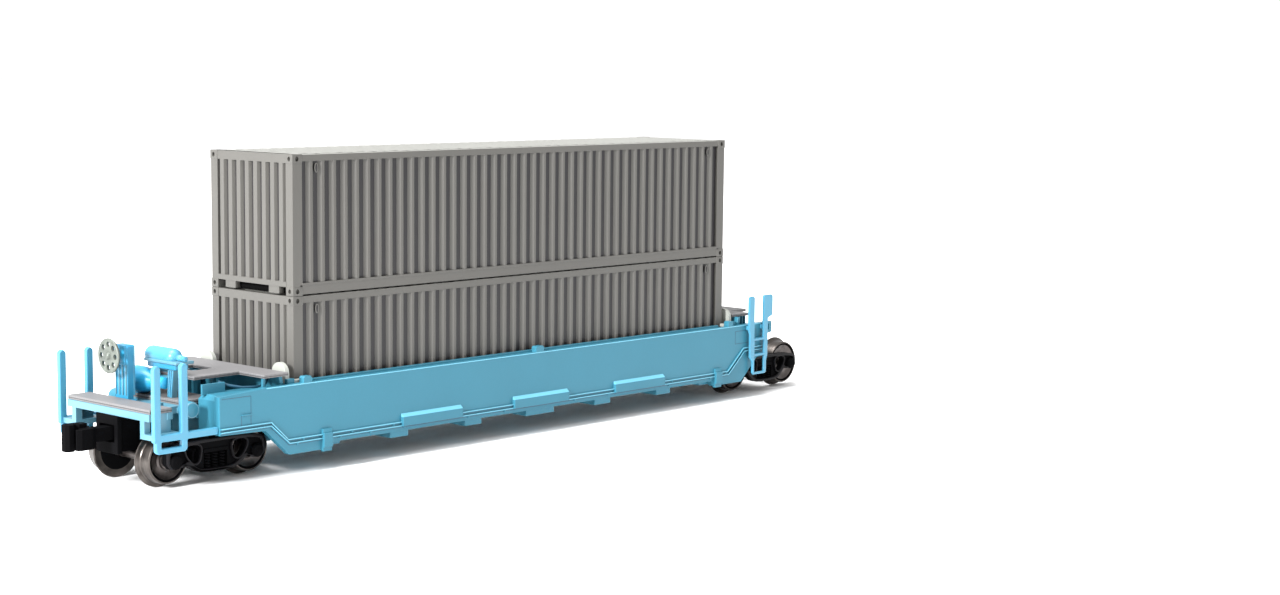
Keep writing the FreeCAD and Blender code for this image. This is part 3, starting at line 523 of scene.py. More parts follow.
class Growth:  # a geometry node tree with named inputs, run once and kept as a plain mesh
    def __init__(self, name):
        self.tree = bpy.data.node_groups.new(name, "GeometryNodeTree")
        self.tree.interface.new_socket("Geometry", in_out="OUTPUT", socket_type="NodeSocketGeometry")
        self.entry = self.tree.nodes.new("NodeGroupInput")
        self.exit = self.tree.nodes.new("NodeGroupOutput")
        self.sockets = {}

    def ask(self, kind, *names):
        for name in names:
            socket = self.tree.interface.new_socket(name, in_out="INPUT", socket_type=f"NodeSocket{kind}")
            self.sockets[name] = socket.identifier
        return [self.entry.outputs[name] for name in names]

    def node(self, kind, settings=None, values=None):
        made = self.tree.nodes.new(kind)
        for name, value in (settings or {}).items():
            setattr(made, name, value)
        for socket, value in (values or {}).items():
            if isinstance(value, bpy.types.NodeSocket):
                self.tree.links.new(value, made.inputs[socket])
            elif isinstance(value, bpy.types.Node):
                self.tree.links.new(value.outputs[0], made.inputs[socket])
            else:
                made.inputs[socket].default_value = value
        return made

    def swept(self, path, section):
        values = {"Curve": path, "Profile Curve": section, "Fill Caps": True}
        return self.node("GeometryNodeCurveToMesh", None, values)

    def repeat(self, shape, coat):
        # sets the shape out in an even row, as real faces with their finish
        count = self.ask("Int", "count")[0]
        start, step, turn = self.ask("Vector", "start", "step", "turn")
        places = {"Count": count, "Start Location": start, "Offset": step}
        row = self.node("GeometryNodeMeshLine", {"mode": "OFFSET"}, places)
        turned = self.node("FunctionNodeEulerToRotation", None, {"Euler": turn})
        placing = {"Points": row, "Instance": shape, "Rotation": turned}
        spread = self.node("GeometryNodeInstanceOnPoints", None, placing)
        real = self.node("GeometryNodeRealizeInstances", None, {"Geometry": spread})
        dressing = {"Geometry": real, "Material": finishes[coat]}
        dressed = self.node("GeometryNodeSetMaterial", None, dressing)
        self.tree.links.new(dressed.outputs[0], self.exit.inputs[0])

    def run(self, count, start, step, turn=(0, 0, 0), **sizes):
        # places and lengths are told in millimetres, and only numbers of sides are whole
        holder = linked(bpy.data.meshes.new("empty"))
        grown = holder.modifiers.new("grow", "NODES")
        grown.node_group = self.tree
        values = {name: value if isinstance(value, int) else value * mm for name, value in sizes.items()}
        values.update(count=count, start=at(*start), step=[length * mm for length in step], turn=turn)
        for name, value in values.items():
            grown[self.sockets[name]] = value
        return smoothed(welded(settled(holder)), 40)


def barTree(name, coat):
    # bars of trapezoid section in an even row: ribs, waves and brackets
    tree = Growth(name)
    length, foot, crown, rise = tree.ask("Float", "length", "foot", "crown", "rise")
    top = tree.node("ShaderNodeCombineXYZ", None, {"Z": length})
    path = tree.node("GeometryNodeCurvePrimitiveLine", {"mode": "POINTS"}, {"Start": (0, 0, 0), "End": top})
    values = {"Height": rise, "Bottom Width": foot, "Top Width": crown, "Offset": 0.0}
    section = tree.node("GeometryNodeCurvePrimitiveQuadrilateral", {"mode": "TRAPEZOID"}, values)
    tree.repeat(tree.swept(path, section), coat)
    return tree


def studTree(name, coat):
    # tapered round studs in an even row: hinge knuckles and bearing bolts
    tree = Growth(name)
    radius, height = tree.ask("Float", "radius", "height")
    sideCount = tree.ask("Int", "sides")[0]
    top = tree.node("ShaderNodeMath", {"operation": "MULTIPLY"}, {0: radius, 1: 0.75})
    stud = tree.node("GeometryNodeMeshCone", {"fill_type": "NGON"},
                     {"Vertices": sideCount, "Radius Bottom": radius, "Radius Top": top, "Depth": height})
    tree.repeat(stud, coat)
    return tree


def coilTree(name, coat):
    # upright coil springs in an even row
    tree = Growth(name)
    radius, wire, height = tree.ask("Float", "radius", "wire", "height")
    values = {"Start Radius": radius, "End Radius": radius, "Height": height, "Rotations": 5.0}
    helix = tree.node("GeometryNodeCurveSpiral", None, {"Resolution": 14, **values})
    ring = tree.node("GeometryNodeCurvePrimitiveCircle", None, {"Resolution": 6, "Radius": wire})
    tree.repeat(tree.swept(helix, ring), coat)
    return tree


container = {
    "skin": 0.05, "foot": 0.14, "crest": 0.06,  # how far faces, foot and top rail lie inside the box
    "ribPitch": 1.723, "ribCount": 42, "rib": {"foot": 1.12, "crown": 0.36, "rise": 0.38},
    "endPitch": 1.56, "endCount": 8, "endRib": {"foot": 1.05, "crown": 0.7, "rise": 0.38}, "endStart": 1.5,
    "postWidth": 1.4, "postDepth": 1.25, "postGap": 0.8,
    "topRail": 0.76, "footRail": 1.45, "footStep": 0.2, "railDepth": 0.75, "railEnd": 1.0,
    "ridgeDepth": 0.7, "ridgeHigh": 0.28, "ridgeProud": 0.04, "ridgeEnd": 1.35,
    "headRail": 1.0, "headDepth": 0.8, "lip": (0.98, 1.6), "lipDepth": 0.7, "lipProud": 0.03,
    "recess": 6.2, "padWidth": 1.9, "padDepth": 0.75,
    "ringIn": 3.55, "ringDown": 1.6, "ring": (0.22, 0.5), "ringWire": 0.06,
}
roof = {
    "edge": 0.14, "waves": 43, "wave": {"foot": 1.1, "crown": 0.55, "rise": 0.14}, "waveEnd": 0.8,
    "strip": (0.72, 0.03), "stripEnd": 1.2, "stripHigh": (0.12, 0.05),
}
doors = {
    "depth": 0.6, "sill": 1.1, "leaf": (1.2, 0.98), "leafDepth": (0.5, 0.2),
    "panels": (1.5, 5.9, 10.2), "panelHigh": 3.9, "panelAcross": (0.4, 5.9), "panelDepth": (0.4, 0.12),
    "hinges": 4, "hingePitch": 3.6, "hingeStart": 2.6, "hinge": {"radius": 0.17, "height": 0.6, "sides": 12},
    "rods": (-5.0, -1.6, 1.6, 5.0), "rodRadius": 0.15, "rodIn": 0.17, "rodEnds": (0.9, 0.7),
    "clips": 5, "clipPitch": 3.1, "clipStart": 1.4,
    "clip": {"length": 0.3, "foot": 0.34, "crown": 0.34, "rise": 0.62},
    "handles": (-3.3, 3.3), "handleHalf": 1.4, "handleHigh": (6.4, 6.2), "handleRadius": 0.12,
}
casting = {
    "size": (1.45, 1.3, 1.05), "bevel": 0.06, "pocketBevel": 0.02, "pocketSteps": 12,
    "middle": (0.68, 0.62, 0.52), "depth": 0.35, "over": 0.3,
    "sideOval": (0.27, 0.3), "endOval": (0.25, 0.28), "topOval": (0.38, 0.24), "topIn": 0.7, "topDepth": 0.3,
}
ribs = barTree("ribs", "boxGrey")
roofRibs = barTree("roofRibs", "roofGrey")
hinges = studTree("hinges", "boxGrey")
clips = barTree("clips", "boxGrey")
corners = [(x, y) for x in (-1, 1) for y in (-1, 1)]


def castings(half, width, height):
    # corner castings with their oval pockets cut in
    c = casting
    long, wide, high = c["size"]
    inX, inY, inZ = c["middle"]
    over, bevel, steps = c["over"], c["pocketBevel"], c["pocketSteps"]
    shape, cutters = bmesh.new(), bmesh.new()
    for x, y in corners:
        for low in (0, height - high):
            inner = (x * (half - long), y * (width - wide), low + high)
            shape.from_mesh(block((x * half, y * width, low), inner, c["bevel"]))
            pocket = oval(x * (half - inX), low + inZ, *c["sideOval"], steps)
            cutters.from_mesh(cutout([pocket], y * (width - c["depth"]), y * (width + over), "Y", bevel))
            pocket = oval(y * (width - inY), low + inZ, *c["endOval"], steps)
            cutters.from_mesh(cutout([pocket], x * (half - c["depth"]), x * (half + over), "X", bevel))
    for x, y in corners:
        pocket = oval(x * (half - c["topIn"]), y * (width - inY), *c["topOval"], steps)
        cutters.from_mesh(cutout([pocket], height - c["topDepth"], height + over, "Z", bevel))
    return cutAway(written(shape), written(cutters))


class Crate:  # one container: its sizes in millimetres, and its parts as they are made
    def __init__(self, name):
        low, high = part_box(name)
        self.name = name
        self.floor = (low.z - railTop) / mm
        self.half = (high.x - low.x) / 2 / mm
        self.width = (high.y - low.y) / 2 / mm
        self.height = (high.z - low.z) / mm
        self.face = self.width - container["skin"]
        self.end = self.half - container["skin"]
        self.inner = self.face - container["postDepth"] + 0.02
        self.parts = []

    def add(self, one, other, coat="boxGrey", bevel=0.05):
        (x0, y0, z0), (x1, y1, z1) = one, other
        self.keep(block((x0, y0, z0 + self.floor), (x1, y1, z1 + self.floor), bevel), coat)

    def keep(self, mesh, coat="boxGrey"):
        self.parts.append((mesh, coat))

    def core(self):
        # the sunk faces between the ribs in a dark grey that is painted shade of the grooves, and a black
        # block under them as painted shadow
        face, end, rise = self.face, self.end, container["rib"]["rise"]
        x, y = end - 0.28, face - rise
        self.add((-end + rise, -y, 1.1), (x, y, self.height - 0.3), "grooveShadeGrey", 0)
        self.add((-end + 0.9, -y, 0.15), (x, y, 1.2), "deepShadow", 0)

    def walls(self):
        # posts, rails and ribs of both long sides, and a small ring near each end of them
        c, face, end, height = container, self.face, self.end, self.height
        railEnd, railIn, ridgeEnd = end - c["railEnd"], face - c["railDepth"], end - c["ridgeEnd"]
        for y in (-1, 1):
            for x in (-1, 1):
                self.add((x * end, y * face, c["postGap"]),
                         (x * (end - c["postWidth"]), y * (face - c["postDepth"]), height - c["postGap"]))
            for low, high in ((height - c["topRail"] - c["crest"], height - c["crest"]),
                              (c["foot"], c["footRail"] - c["footStep"])):
                self.add((-railEnd, y * railIn, low), (railEnd, y * face, high))
            self.add((-ridgeEnd, y * (face - c["ridgeDepth"]), c["footRail"] - c["ridgeHigh"]),
                     (ridgeEnd, y * (face + c["ridgeProud"]), c["footRail"]), bevel=0.04)
            first = -c["ribPitch"] * (c["ribCount"] - 1) / 2
            centre = y * (face - c["rib"]["rise"] / 2)
            self.keep(ribs.run(c["ribCount"], (first, centre, self.floor + c["footRail"] - 0.1),
                               (c["ribPitch"], 0, 0), (0, 0, 0 if y > 0 else math.pi),
                               length=height - c["topRail"] - c["footRail"] + 0.1, **c["rib"]))
            for x in (-1, 1):
                ringX, ringZ = x * (self.half - c["ringIn"]), self.floor + height - c["ringDown"]
                ring = oval(ringX, ringZ, *c["ring"], 20)
                # painted shade: a dark oval behind the ring stands in for the shade in its hollow
                self.keep(cutout([ring], y * (face - 0.2), y * (face - 0.02), "Y", 0.02), "grooveShadeGrey")
                self.keep(pipe([(u, y * (face - 0.03), v) for u, v in ring], c["ringWire"], 6, True))

    def front(self):
        # the plain end: ribs between the rails, and the lip, pads and recess at the foot
        c, end, height, inner = container, self.end, self.height, self.inner
        first = -c["endPitch"] * (c["endCount"] - 1) / 2
        self.keep(ribs.run(c["endCount"], (-end + c["endRib"]["rise"] / 2, first, self.floor + c["endStart"]),
                           (0, c["endPitch"], 0), (0, 0, straight),
                           length=height - c["headRail"] - c["endStart"], **c["endRib"]))
        low, high = c["lip"]
        self.add((-end, -inner - 0.05, height - c["headRail"] - 0.04),
                 (-end + c["headDepth"], inner + 0.05, height - 0.04))
        self.add((-end - c["lipProud"], -inner, low), (-end + c["lipDepth"], inner, high), bevel=0.04)
        for y in (-1, 1):
            edge = c["recess"] / 2
            self.add((-end + 0.02, y * edge, c["foot"]),
                     (-end + c["padDepth"], y * (edge + c["padWidth"]), low + 0.05))

    def top(self):
        # the roof, with shallow waves across it
        face, end, height = self.face, self.end, self.height
        self.add((-end + 0.9, -face + 0.6, height - 0.5), (end - 0.5, face - 0.6, height - roof["edge"]),
                 "roofGrey", 0.02)
        first = -container["ribPitch"] * (roof["waves"] - 1) / 2
        waveTop = self.floor + height - roof["edge"] + roof["wave"]["rise"] / 2
        waves = roofRibs.run(roof["waves"], (first, -face + roof["waveEnd"], waveTop),
                             (container["ribPitch"], 0, 0), (-straight, 0, 0),
                             length=2 * (face - roof["waveEnd"]), **roof["wave"])
        self.keep(waves, "roofGrey")
        (inside, outside), (low, high) = roof["strip"], roof["stripHigh"]
        for y in (-1, 1):
            self.add((-end + roof["stripEnd"], y * (face - inside), height - low),
                     (end - roof["stripEnd"], y * (face - outside), height - high), "roofGrey", 0.02)

    def rear(self):
        # the doors: leaves, lock rods with their brackets, handles and hinges
        d, end, height, inner, floor = doors, self.end, self.height, self.inner, self.floor
        heights = ((height - container["headRail"] + 0.1, height - 0.04), (container["foot"], d["sill"]))
        for low, high in heights:
            self.add((end - d["depth"], -inner, low), (end, inner, high))
        (leafLow, leafHigh), (leafIn, leafOut) = d["leaf"], d["leafDepth"]
        (near, far), (sunk, raised) = d["panelAcross"], d["panelDepth"]
        for y in (-1, 1):
            self.add((end - leafIn, y * 0.05, leafLow),
                     (end - leafOut, y * (inner - 0.05), height - leafHigh))
            for z in d["panels"]:
                self.add((end - sunk, y * near, z), (end - raised, y * far, z + d["panelHigh"]), bevel=0.08)
            self.keep(hinges.run(d["hinges"], (end - 0.12, y * (inner - 0.02), floor + d["hingeStart"]),
                                 (0, 0, d["hingePitch"]), **d["hinge"]))
        low, high = d["rodEnds"]
        for y in d["rods"]:
            rod = [(end - d["rodIn"], y, floor + low), (end - d["rodIn"], y, floor + height - high)]
            self.keep(pipe(rod, d["rodRadius"], 12))
            self.keep(clips.run(d["clips"], (end - 0.16, y, floor + d["clipStart"]), (0, 0, d["clipPitch"]),
                                (0, 0, straight), **d["clip"]))
        low, high = d["handleHigh"]
        for y in d["handles"]:
            reach = d["handleHalf"]
            bar = [(end - 0.1, y - reach, floor + low), (end - 0.1, y + reach, floor + high)]
            self.keep(pipe(bar, d["handleRadius"], 8))

    def finish(self):
        # all the parts as one piece
        self.core()
        self.walls()
        self.front()
        self.top()
        self.rear()
        moved = castings(self.half, self.width, self.height)
        moved.transform(Matrix.Translation((0, 0, self.floor * mm)))
        self.keep(moved)
        dress(self.name, self.name, self.parts)


for name in ("container_lower", "container_upper"):
    Crate(name).finish()
print("containers dressed")

# car solids whose edges are only rounded: finish, slot, rounding in millimetres, names
plainSolids = (
    ("bodyBlue", "blue_plastic", 0.09, ("side_wall_near", "side_wall_far", "bulkhead_front", "bulkhead_rear",
                                        "end_sill_front", "end_sill_rear", "deck_posts_front",
                                        "deck_posts_rear")),
    ("shadedFrameBlue", "blue_plastic", 0.14, ("platform_frame",)),
    ("railBlue", "blue_plastic", 0.2, ("end_rail_near", "end_rail_far")),
    ("shadedStandBlue", "blue_plastic", 0.2, ("brake_stand",)),
    ("shadedFrameBlue", "blue_plastic", 0.14, ("reservoir_cradle",)),
    ("shadedStandBlue", "blue_plastic", 0.12, ("cylinder_saddle",)),
    ("boardGrey", "grey_board", 0.06, ("deck_front", "deck_rear", "platform_boards")),
    ("guideCream", "cream_plastic", 0.14, ("guide_front_near", "guide_front_far",
                                           "guide_rear_near", "guide_rear_far")),
    ("truckBlack", "black_plastic", 0.07, ("draft_box",)),
)
for coat, slotName, rounding, names in plainSolids:
    for name in names:
        dress(name, "car", [(softened(name, rounding, 3), coat)])

# upright ridges on the brake stand in a darker copy of the rail plastic as painted shade, and its edge in the
# rail plastic itself
stand = {
    "line": 1.9, "front": 54.8, "foot": 9.2,
    "ridges": (-1.0, -0.35, 0.3, 0.95), "ridgeHalf": 0.09, "ridgeTop": 12.7, "ridgeDepth": (-0.12, 0.1),
    "edge": (-1.22, -0.9), "edgeTop": 14.8, "edgeDepth": (0.75, 1.02),
}
foot, half = stand["foot"], stand["ridgeHalf"]
proud, sunk = (depth - stand["front"] for depth in stand["ridgeDepth"])
ridges = []
for offset in stand["ridges"]:
    across = stand["line"] + offset
    ridge = block((proud, across - half, foot), (sunk, across + half, stand["ridgeTop"]), 0.04)
    ridges.append((ridge, "shadedFrameBlue"))
proud, sunk = (depth - stand["front"] for depth in stand["edgeDepth"])
low, high = (stand["line"] + offset for offset in stand["edge"])
ridges.append((block((proud, low, foot), (sunk, high, stand["edgeTop"]), 0.06), "railBlue"))
assemble("stand_ridges", "car", ridges)

# ladders: a flat plate with two windows, held off the wall by three lugs
ladder = {
    "outline": [
        (41.85, 3.1), (42.1, 2.85), (44.65, 2.85), (44.9, 3.1), (44.9, 4.7), (45.15, 5.4), (45.2, 10.7),
        (46.1, 11.0), (46.2, 11.2), (46.2, 13.75), (45.95, 14.0), (44.35, 14.0), (44.2, 13.85), (44.2, 8.0),
        (42.2, 8.0), (42.2, 13.75), (41.95, 14.0), (41.25, 14.0), (41.0, 13.75), (41.0, 9.2), (41.25, 8.6),
        (41.25, 5.4), (41.85, 4.7),
    ],
    "window": (42.25, 44.35), "windows": ((3.2, 5.45), (5.8, 7.65)), "face": (9.85, 10.2), "wall": 9.4,
    "lugs": ((41.9, 44.7, 7.65, 8.0), (41.2, 42.1, 9.2, 9.8), (44.25, 45.1, 9.2, 9.8)),
}
left, right = ladder["window"]
openings = [[(left, low), (right, low), (right, high), (left, high)] for low, high in ladder["windows"]]
inner, outer = ladder["face"]
for sideName, side in sides:
    parts = [(cutout([ladder["outline"]] + openings, side * inner, side * outer, "Y", 0.1), "railBlue")]
    for x0, x1, z0, z1 in ladder["lugs"]:
        lug = block((x0, side * ladder["wall"], z0), (x1, side * (inner + 0.1), z1), 0.06)
        parts.append((lug, "railBlue"))
    dress(f"ladder_{sideName}", "car", parts)

# a hose that hangs under the front walkway on each side, dark blue as painted shade
hose = {
    "radius": 0.14,
    "line": ((-47.2, 5.6, 10.7), (-46.2, 6.3, 10.25), (-44.8, 6.9, 9.95), (-43.0, 7.2, 9.85),
             (-41.6, 7.0, 10.1), (-40.8, 6.4, 10.6)),
}
for sideName, side in sides:
    bend = pipe([(x, side * y, z) for x, y, z in hose["line"]], hose["radius"], 10)
    assemble(f"hose_{sideName}", "car", [(bend, "shadeBlue")])

# the ridged leg under the tank, and the drums at both ends of the platform
leg = {
    "x": -51.14, "high": (12.0, 9.0), "radius": 0.1,
    "ridges": ((-2.68, -2.3), (-2.28, -2.02), (-1.9, -1.75)),
}
top, foot = leg["high"]
ridges = []
for topY, footY in leg["ridges"]:
    ridges.append((pipe([(leg["x"], topY, top), (leg["x"], footY, foot)], leg["radius"], 8), "railBlue"))
assemble("cradle_ridges", "car", ridges)
drums = {
    "centre": (-52.0, 0, 8.2),
    "profile": ((5.95, 0), (5.95, 0.94), (7.15, 0.94), (7.36, 0.86), (7.46, 0.6), (7.46, 0)),
}
drumEnds = []
for side in (-1, 1):
    drumEnds.append((lathe(drums["profile"], drums["centre"], steps=36, side=side), "bodyBlue"))
assemble("platform_drums", "car", drumEnds)
nodes["well_floor"].data.materials.clear()
nodes["well_floor"].data.materials.append(finishes["bodyBlue"])
print("car body dressed")

# lines and small forms on the near and far walls; the lighter strips and guard slopes are painted highlight,
# the dark strips painted shade
wallTrim = {
    "face": 9.45, "line": 0.07, "proud": 0.015,
    "lines": (((-49.62, 6.1), (-45.62, 6.1), (-45.62, 9.35), (-49.62, 9.35)),
              ((-46.95, 6.12), (-46.95, 7.2), (-45.65, 7.2)),
              ((38.8, 7.45), (43.4, 7.45), (43.4, 9.2), (38.8, 9.2), (38.8, 7.45))),
    "ledge": (-46.95, -45.6, 7.2, 7.38), "ledgeProud": 0.16, "topEdge": ((-43.4, 9.93), (45.1, 9.93)),
    "tickWide": 0.3, "tickHigh": 0.37, "tickProud": 0.2,
    "ticks": ((3.05, (-39.3, -33.0, -28.4, -23.1, -12.6, -6.4, 6.2, 12.6, 24.6, 33.2)),
              (3.5, (-38.4, -31.2, -24.8, 25.2, 36.6))),
    "flanges": (((3.65, 5.9, 6.6), 0.0), ((3.2, 5.5, 6.15), 0.2)), "flangeFace": 9.64,
    "guards": ((-18.55, 4.85), (0.1, 4.9), (18.7, 4.9)), "guardHigh": (4.38, 4.78), "guardProud": 0.43,
    "guardLine": 3.27,
}


def strip(start, finish, y, thick, proud):
    # a thin line on the wall between two places, told as (x, z)
    (x0, z0), (x1, z1) = start, finish
    first, last = Vector((x0, 0, z0)), Vector((x1, 0, z1))
    along = Vector((x1 - x0, 0, z1 - z0)).normalized()
    aside = Vector((-along.z, 0, along.x)) * thick / 2
    outline = [(p.x, p.z) for p in (first - aside, last - aside, last + aside, first + aside)]
    return cutout([outline], y - proud, y + proud, "Y", 0.004)


for sideName, side in sides:
    w = wallTrim
    trim = []
    face, edge = side * w["face"], side * w["flangeFace"]
    for points in w["lines"]:
        for start, finish in zip(points, points[1:]):
            # painted shade: the panel lines are dark strips standing in for the shade in engraved lines
            trim.append((strip(start, finish, face, w["line"], w["proud"]), "shadeBlue"))
    x0, x1, z0, z1 = w["ledge"]
    trim.append((block((x0, face, z0), (x1, face + side * w["ledgeProud"], z1), 0.05), "bodyBlue"))
    for foot, places in w["ticks"]:
        for x in places:
            farCorner = (x + w["tickWide"], face + side * w["tickProud"], foot + w["tickHigh"])
            trim.append((block((x, face, foot), farCorner, 0.04), "bodyBlue"))
    # painted highlight: a light strip along the top edge of the wall
    trim.append((strip(*w["topEdge"], face, 0.12, 0.03), "highlightBlue"))
    for (low, front, rear), inset in w["flanges"]:
        line = [(-49.8, front), (-42.9, front), (-40.5 + inset, low), (37.1 + inset, low),
                (40.5 + inset, rear), (45.1, rear)]
        for (x0, z0), (x1, z1) in zip(line, line[1:]):
            # painted highlight on the flange tops, and painted shade in the dark strip under them
            trim.append((strip((x0, z0 + 0.15), (x1, z1 + 0.15), edge, 0.1, 0.02), "highlightBlue"))
            trim.append((strip((x0, z0 - 0.05), (x1, z1 - 0.05), face, 0.1, 0.02), "shadeBlue"))
    low, high = w["guardHigh"]
    for centre, half in w["guards"]:
        # painted highlight: the guard slopes take the lighter blue, and a dark strip under them is painted
        # shadow
        slope = [(face, low), (face + side * w["guardProud"], low), (face, high)]
        trim.append((cutout([slope], centre - half, centre + half, "X", 0.02), "highlightBlue"))
        under = [(centre - half, w["guardLine"]), (centre + half, w["guardLine"])]
        trim.append((strip(*under, face + side * 0.3, 0.08, 0.1), "shadeBlue"))
    assemble(f"wall_trim_{sideName}", "car", trim)
print("wall trim made")

# brake wheel: a drilled disc in a round rim, with a hub and a raised ring
low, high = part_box("brake_wheel")
brake = {
    "radius": (high.y - low.y) / 2 / mm, "disc": (0.24, 0.62), "rim": 0.15, "rimIn": 0.36,
    "holes": 8, "holeRadius": 0.3, "holeRing": 1.3, "raised": 0.8, "raisedIn": 0.3, "raisedWire": 0.06,
    "hub": ((0, 0), (0, 0.25), (0.08, 0.36), (0.3, 0.46), (0.5, 0.5), (0.5, 0)),
}
middle = (low + high) / 2
wheelX, wheelY, wheelZ = (low.x - wellCentre) / mm, middle.y / mm, (middle.z - railTop) / mm


def brakeRing(depth, radius, count):
    return [(wheelX + depth, y, z) for y, z in oval(wheelY, wheelZ, radius, radius, count)]


rimRadius = brake["radius"] - brake["rim"]
outlines = [oval(wheelY, wheelZ, rimRadius, rimRadius, 56)]
for y, z in oval(wheelY, wheelZ, brake["holeRing"], brake["holeRing"], brake["holes"]):
    outlines.append(oval(y, z, brake["holeRadius"], brake["holeRadius"], 16))
near, far = brake["disc"]
meshes = (cutout(outlines, wheelX + near, wheelX + far, "X", 0.05),
          lathe(brake["hub"], (wheelX, wheelY, wheelZ), "X"),
          pipe(brakeRing(brake["rimIn"], rimRadius, 56), brake["rim"], 12, True),
          pipe(brakeRing(brake["raisedIn"], brake["raised"], 40), brake["raisedWire"], 8, True))
parts = [(mesh, "wheelSilver") for mesh in meshes]
dress("brake_wheel", "car", parts)

tank = {
    "x": -50.55, "z": 13.4,
    "profile": ((-4.3, 0), (-4.3, 0.22), (-4.2, 0.33), (-3.5, 0.33), (-3.4, 0.42), (-3.25, 0.42),
                (-3.2, 0.33), (-2.95, 0.33), (-2.85, 0.5), (-2.6, 0.78), (-2.35, 0.93), (-2.05, 1.0),
                (1.9, 1.0), (2.2, 0.93), (2.42, 0.75), (2.55, 0.45), (2.6, 0)),
}
tankX, tankZ = tank["x"], tank["z"]
# painted shade: the tray and the block under the tank take darker copies of the tank's plastic
parts = [(lathe(tank["profile"], (tankX, 0, tankZ), "Y", 56, 45), "railBlue"),
         (block((tankX - 1.15, -4.0, tankZ - 0.65), (tankX + 1.35, 2.1, tankZ - 0.3), 0.1, 3), "shadedFrameBlue"),
         (block((tankX - 0.8, -3.4, tankZ - 1.3), (tankX + 1.0, 1.9, tankZ - 0.6), 0.12, 3), "shadedStandBlue")]
dress("reservoir", "car", parts)

# painted light: the brake cylinder takes a brighter copy of the rail plastic
low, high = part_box("brake_cylinder")
drumX, drumZ = ((low.x + high.x) / 2 - wellCentre) / mm, ((low.z + high.z) / 2 - railTop) / mm
drum = ((-1.6, 0), (-1.6, 0.5), (-1.5, 0.65), (0.45, 0.65), (0.6, 0.75), (0.9, 1.0), (1.6, 1.3), (2.3, 1.46),
        (2.7, 1.5), (3.2, 1.5), (3.95, 1.5), (4.1, 1.42), (4.2, 1.25), (4.2, 0))
dress("brake_cylinder", "car", [(lathe(drum, (drumX, 0, drumZ), "Y", 56, 40), "litDrumBlue")])
print("brake gear made")

trucks = {
    "truck_front": {"centre": -48.6, "radius": 2.62, "axle": 5.55},
    "truck_rear": {"centre": 48.6, "radius": 3.02, "axle": 5.715},
}
truckSide = {
    "web": (6.15, 6.9), "rim": (6.85, 7.25), "lip": 0.32, "eyeRim": 0.17, "middle": (6.6, 2.9),
    "eye": [(2.2, 3.1), (2.35, 2.3), (3.1, 2.05), (4.0, 3.0), (4.3, 3.9), (3.7, 4.3), (2.4, 4.2), (2.1, 3.8)],
    "nest": [(-1.6, 1.45), (1.6, 1.45), (1.6, 3.2), (-1.6, 3.2)],
    "journal": ((6.75, 0), (6.75, 0.78), (7.3, 0.78), (7.36, 0.7), (7.5, 0.66), (7.55, 0.55), (7.55, 0.3),
                (7.6, 0.24), (7.6, 0)),
    "bolt": (0.38, 0.16), "boltHead": {"radius": 0.08, "height": 0.09, "sides": 6},
}
coils = coilTree("coils", "truckBlack")
bolts = studTree("bolts", "truckBlack")


def grown(points, width):
    # the same outline, a little larger all round
    middle = Vector((sum(p[0] for p in points) / len(points), sum(p[1] for p in points) / len(points)))
    made = []
    for point in points:
        away = Vector(point) - middle
        made.append(tuple(middle + away * (1 + width / away.length)))
    return made


def frameOutline(axle, radius, inset=0.0):
    # one truck frame seen from the side, about its centre; the inset draws it in
    right = [(1.9, 1.0), (3.1, 1.35), (axle - 1.35, radius - 0.3), (axle - 0.85, radius - 0.75),
             (axle + 1.05, radius - 0.75), (axle + 1.05, 4.1), (axle + 0.5, 4.45), (3.4, 4.7)]
    points = []
    for x, z in right + [(-x, z) for x, z in right[::-1]]:
        inward = math.copysign(inset, x) * (1 if abs(x) > 2.5 else 0.3)
        points.append((x - inward, z + (inset if z < truckSide["middle"][1] else -inset)))
    return curved(points, 1)


def dressTruck(name, centre, radius, axle):
    s = truckSide
    for sideName, side in sides:
        def moved(points):
            return [(centre + x, z) for x, z in points]

        web, rim = (sorted(side * edge for edge in s[part]) for part in ("web", "rim"))
        eyes = [[(turn * x, z) for x, z in curved(s["eye"])] for turn in (-1, 1)]
        outline = moved(frameOutline(axle, radius))
        holes = [moved(eye) for eye in eyes] + [moved(s["nest"])]
        inside = moved(frameOutline(axle, radius, s["lip"]))
        # painted highlight: the raised lips and eye rims take a lighter black than the frame
        parts = [(cutout([outline] + holes, *web, "Y", 0.05), "truckBlack"),
                 (cutout([outline, inside], *rim, "Y", 0.06), "truckEdge")]
        for eye in eyes:
            ring = [moved(grown(eye, s["eyeRim"])), moved(eye)]
            parts.append((cutout(ring, rim[0] + 0.02, rim[1] - 0.06, "Y", 0.05), "truckEdge"))
        middle = side * s["middle"][0]
        springs = coils.run(3, (centre - 1.0, middle, 1.52), (1.0, 0, 0), radius=0.34, wire=0.1, height=1.65)
        saddle = block((centre - 1.7, middle - 0.4, 3.15), (centre + 1.7, middle + 0.4, 3.6), 0.08)
        back = block((centre - 1.75, side * 6.0, 1.3), (centre + 1.75, side * 6.2, 3.5), 0.05)
        parts += [(springs, "truckBlack"), (saddle, "truckBlack"), (back, "deepShadow")]
        for turn in (-1, 1):
            spot = centre + turn * axle
            journal = lathe(s["journal"], (spot, 0, radius), side=side)
            across, up = s["bolt"]
            first = (spot - across, side * 7.55, radius - 0.2)
            heads = bolts.run(3, first, (across, 0, up), (straight, 0, 0), **s["boltHead"])
            parts += [(journal, "truckBlack"), (heads, "truckBlack")]
        dress(f"{name}_side_{sideName}", name, parts)
    # painted shade: a black beam between the side frames, put there to fill the shade under the truck
    shadeBeam = block((centre - 2.3, -6.0, 1.5), (centre + 2.3, 6.0, 3.35), 0.1)
    parts = [(softened(f"{name}_bolster", 0.06), "truckBlack"), (shadeBeam, "truckBlack")]
    dress(f"{name}_bolster", name, parts)
    for order, turn in ((1, -1), (2, 1)):
        dressWheelset(f"{name}_wheelset_{order}", centre + turn * axle, radius)


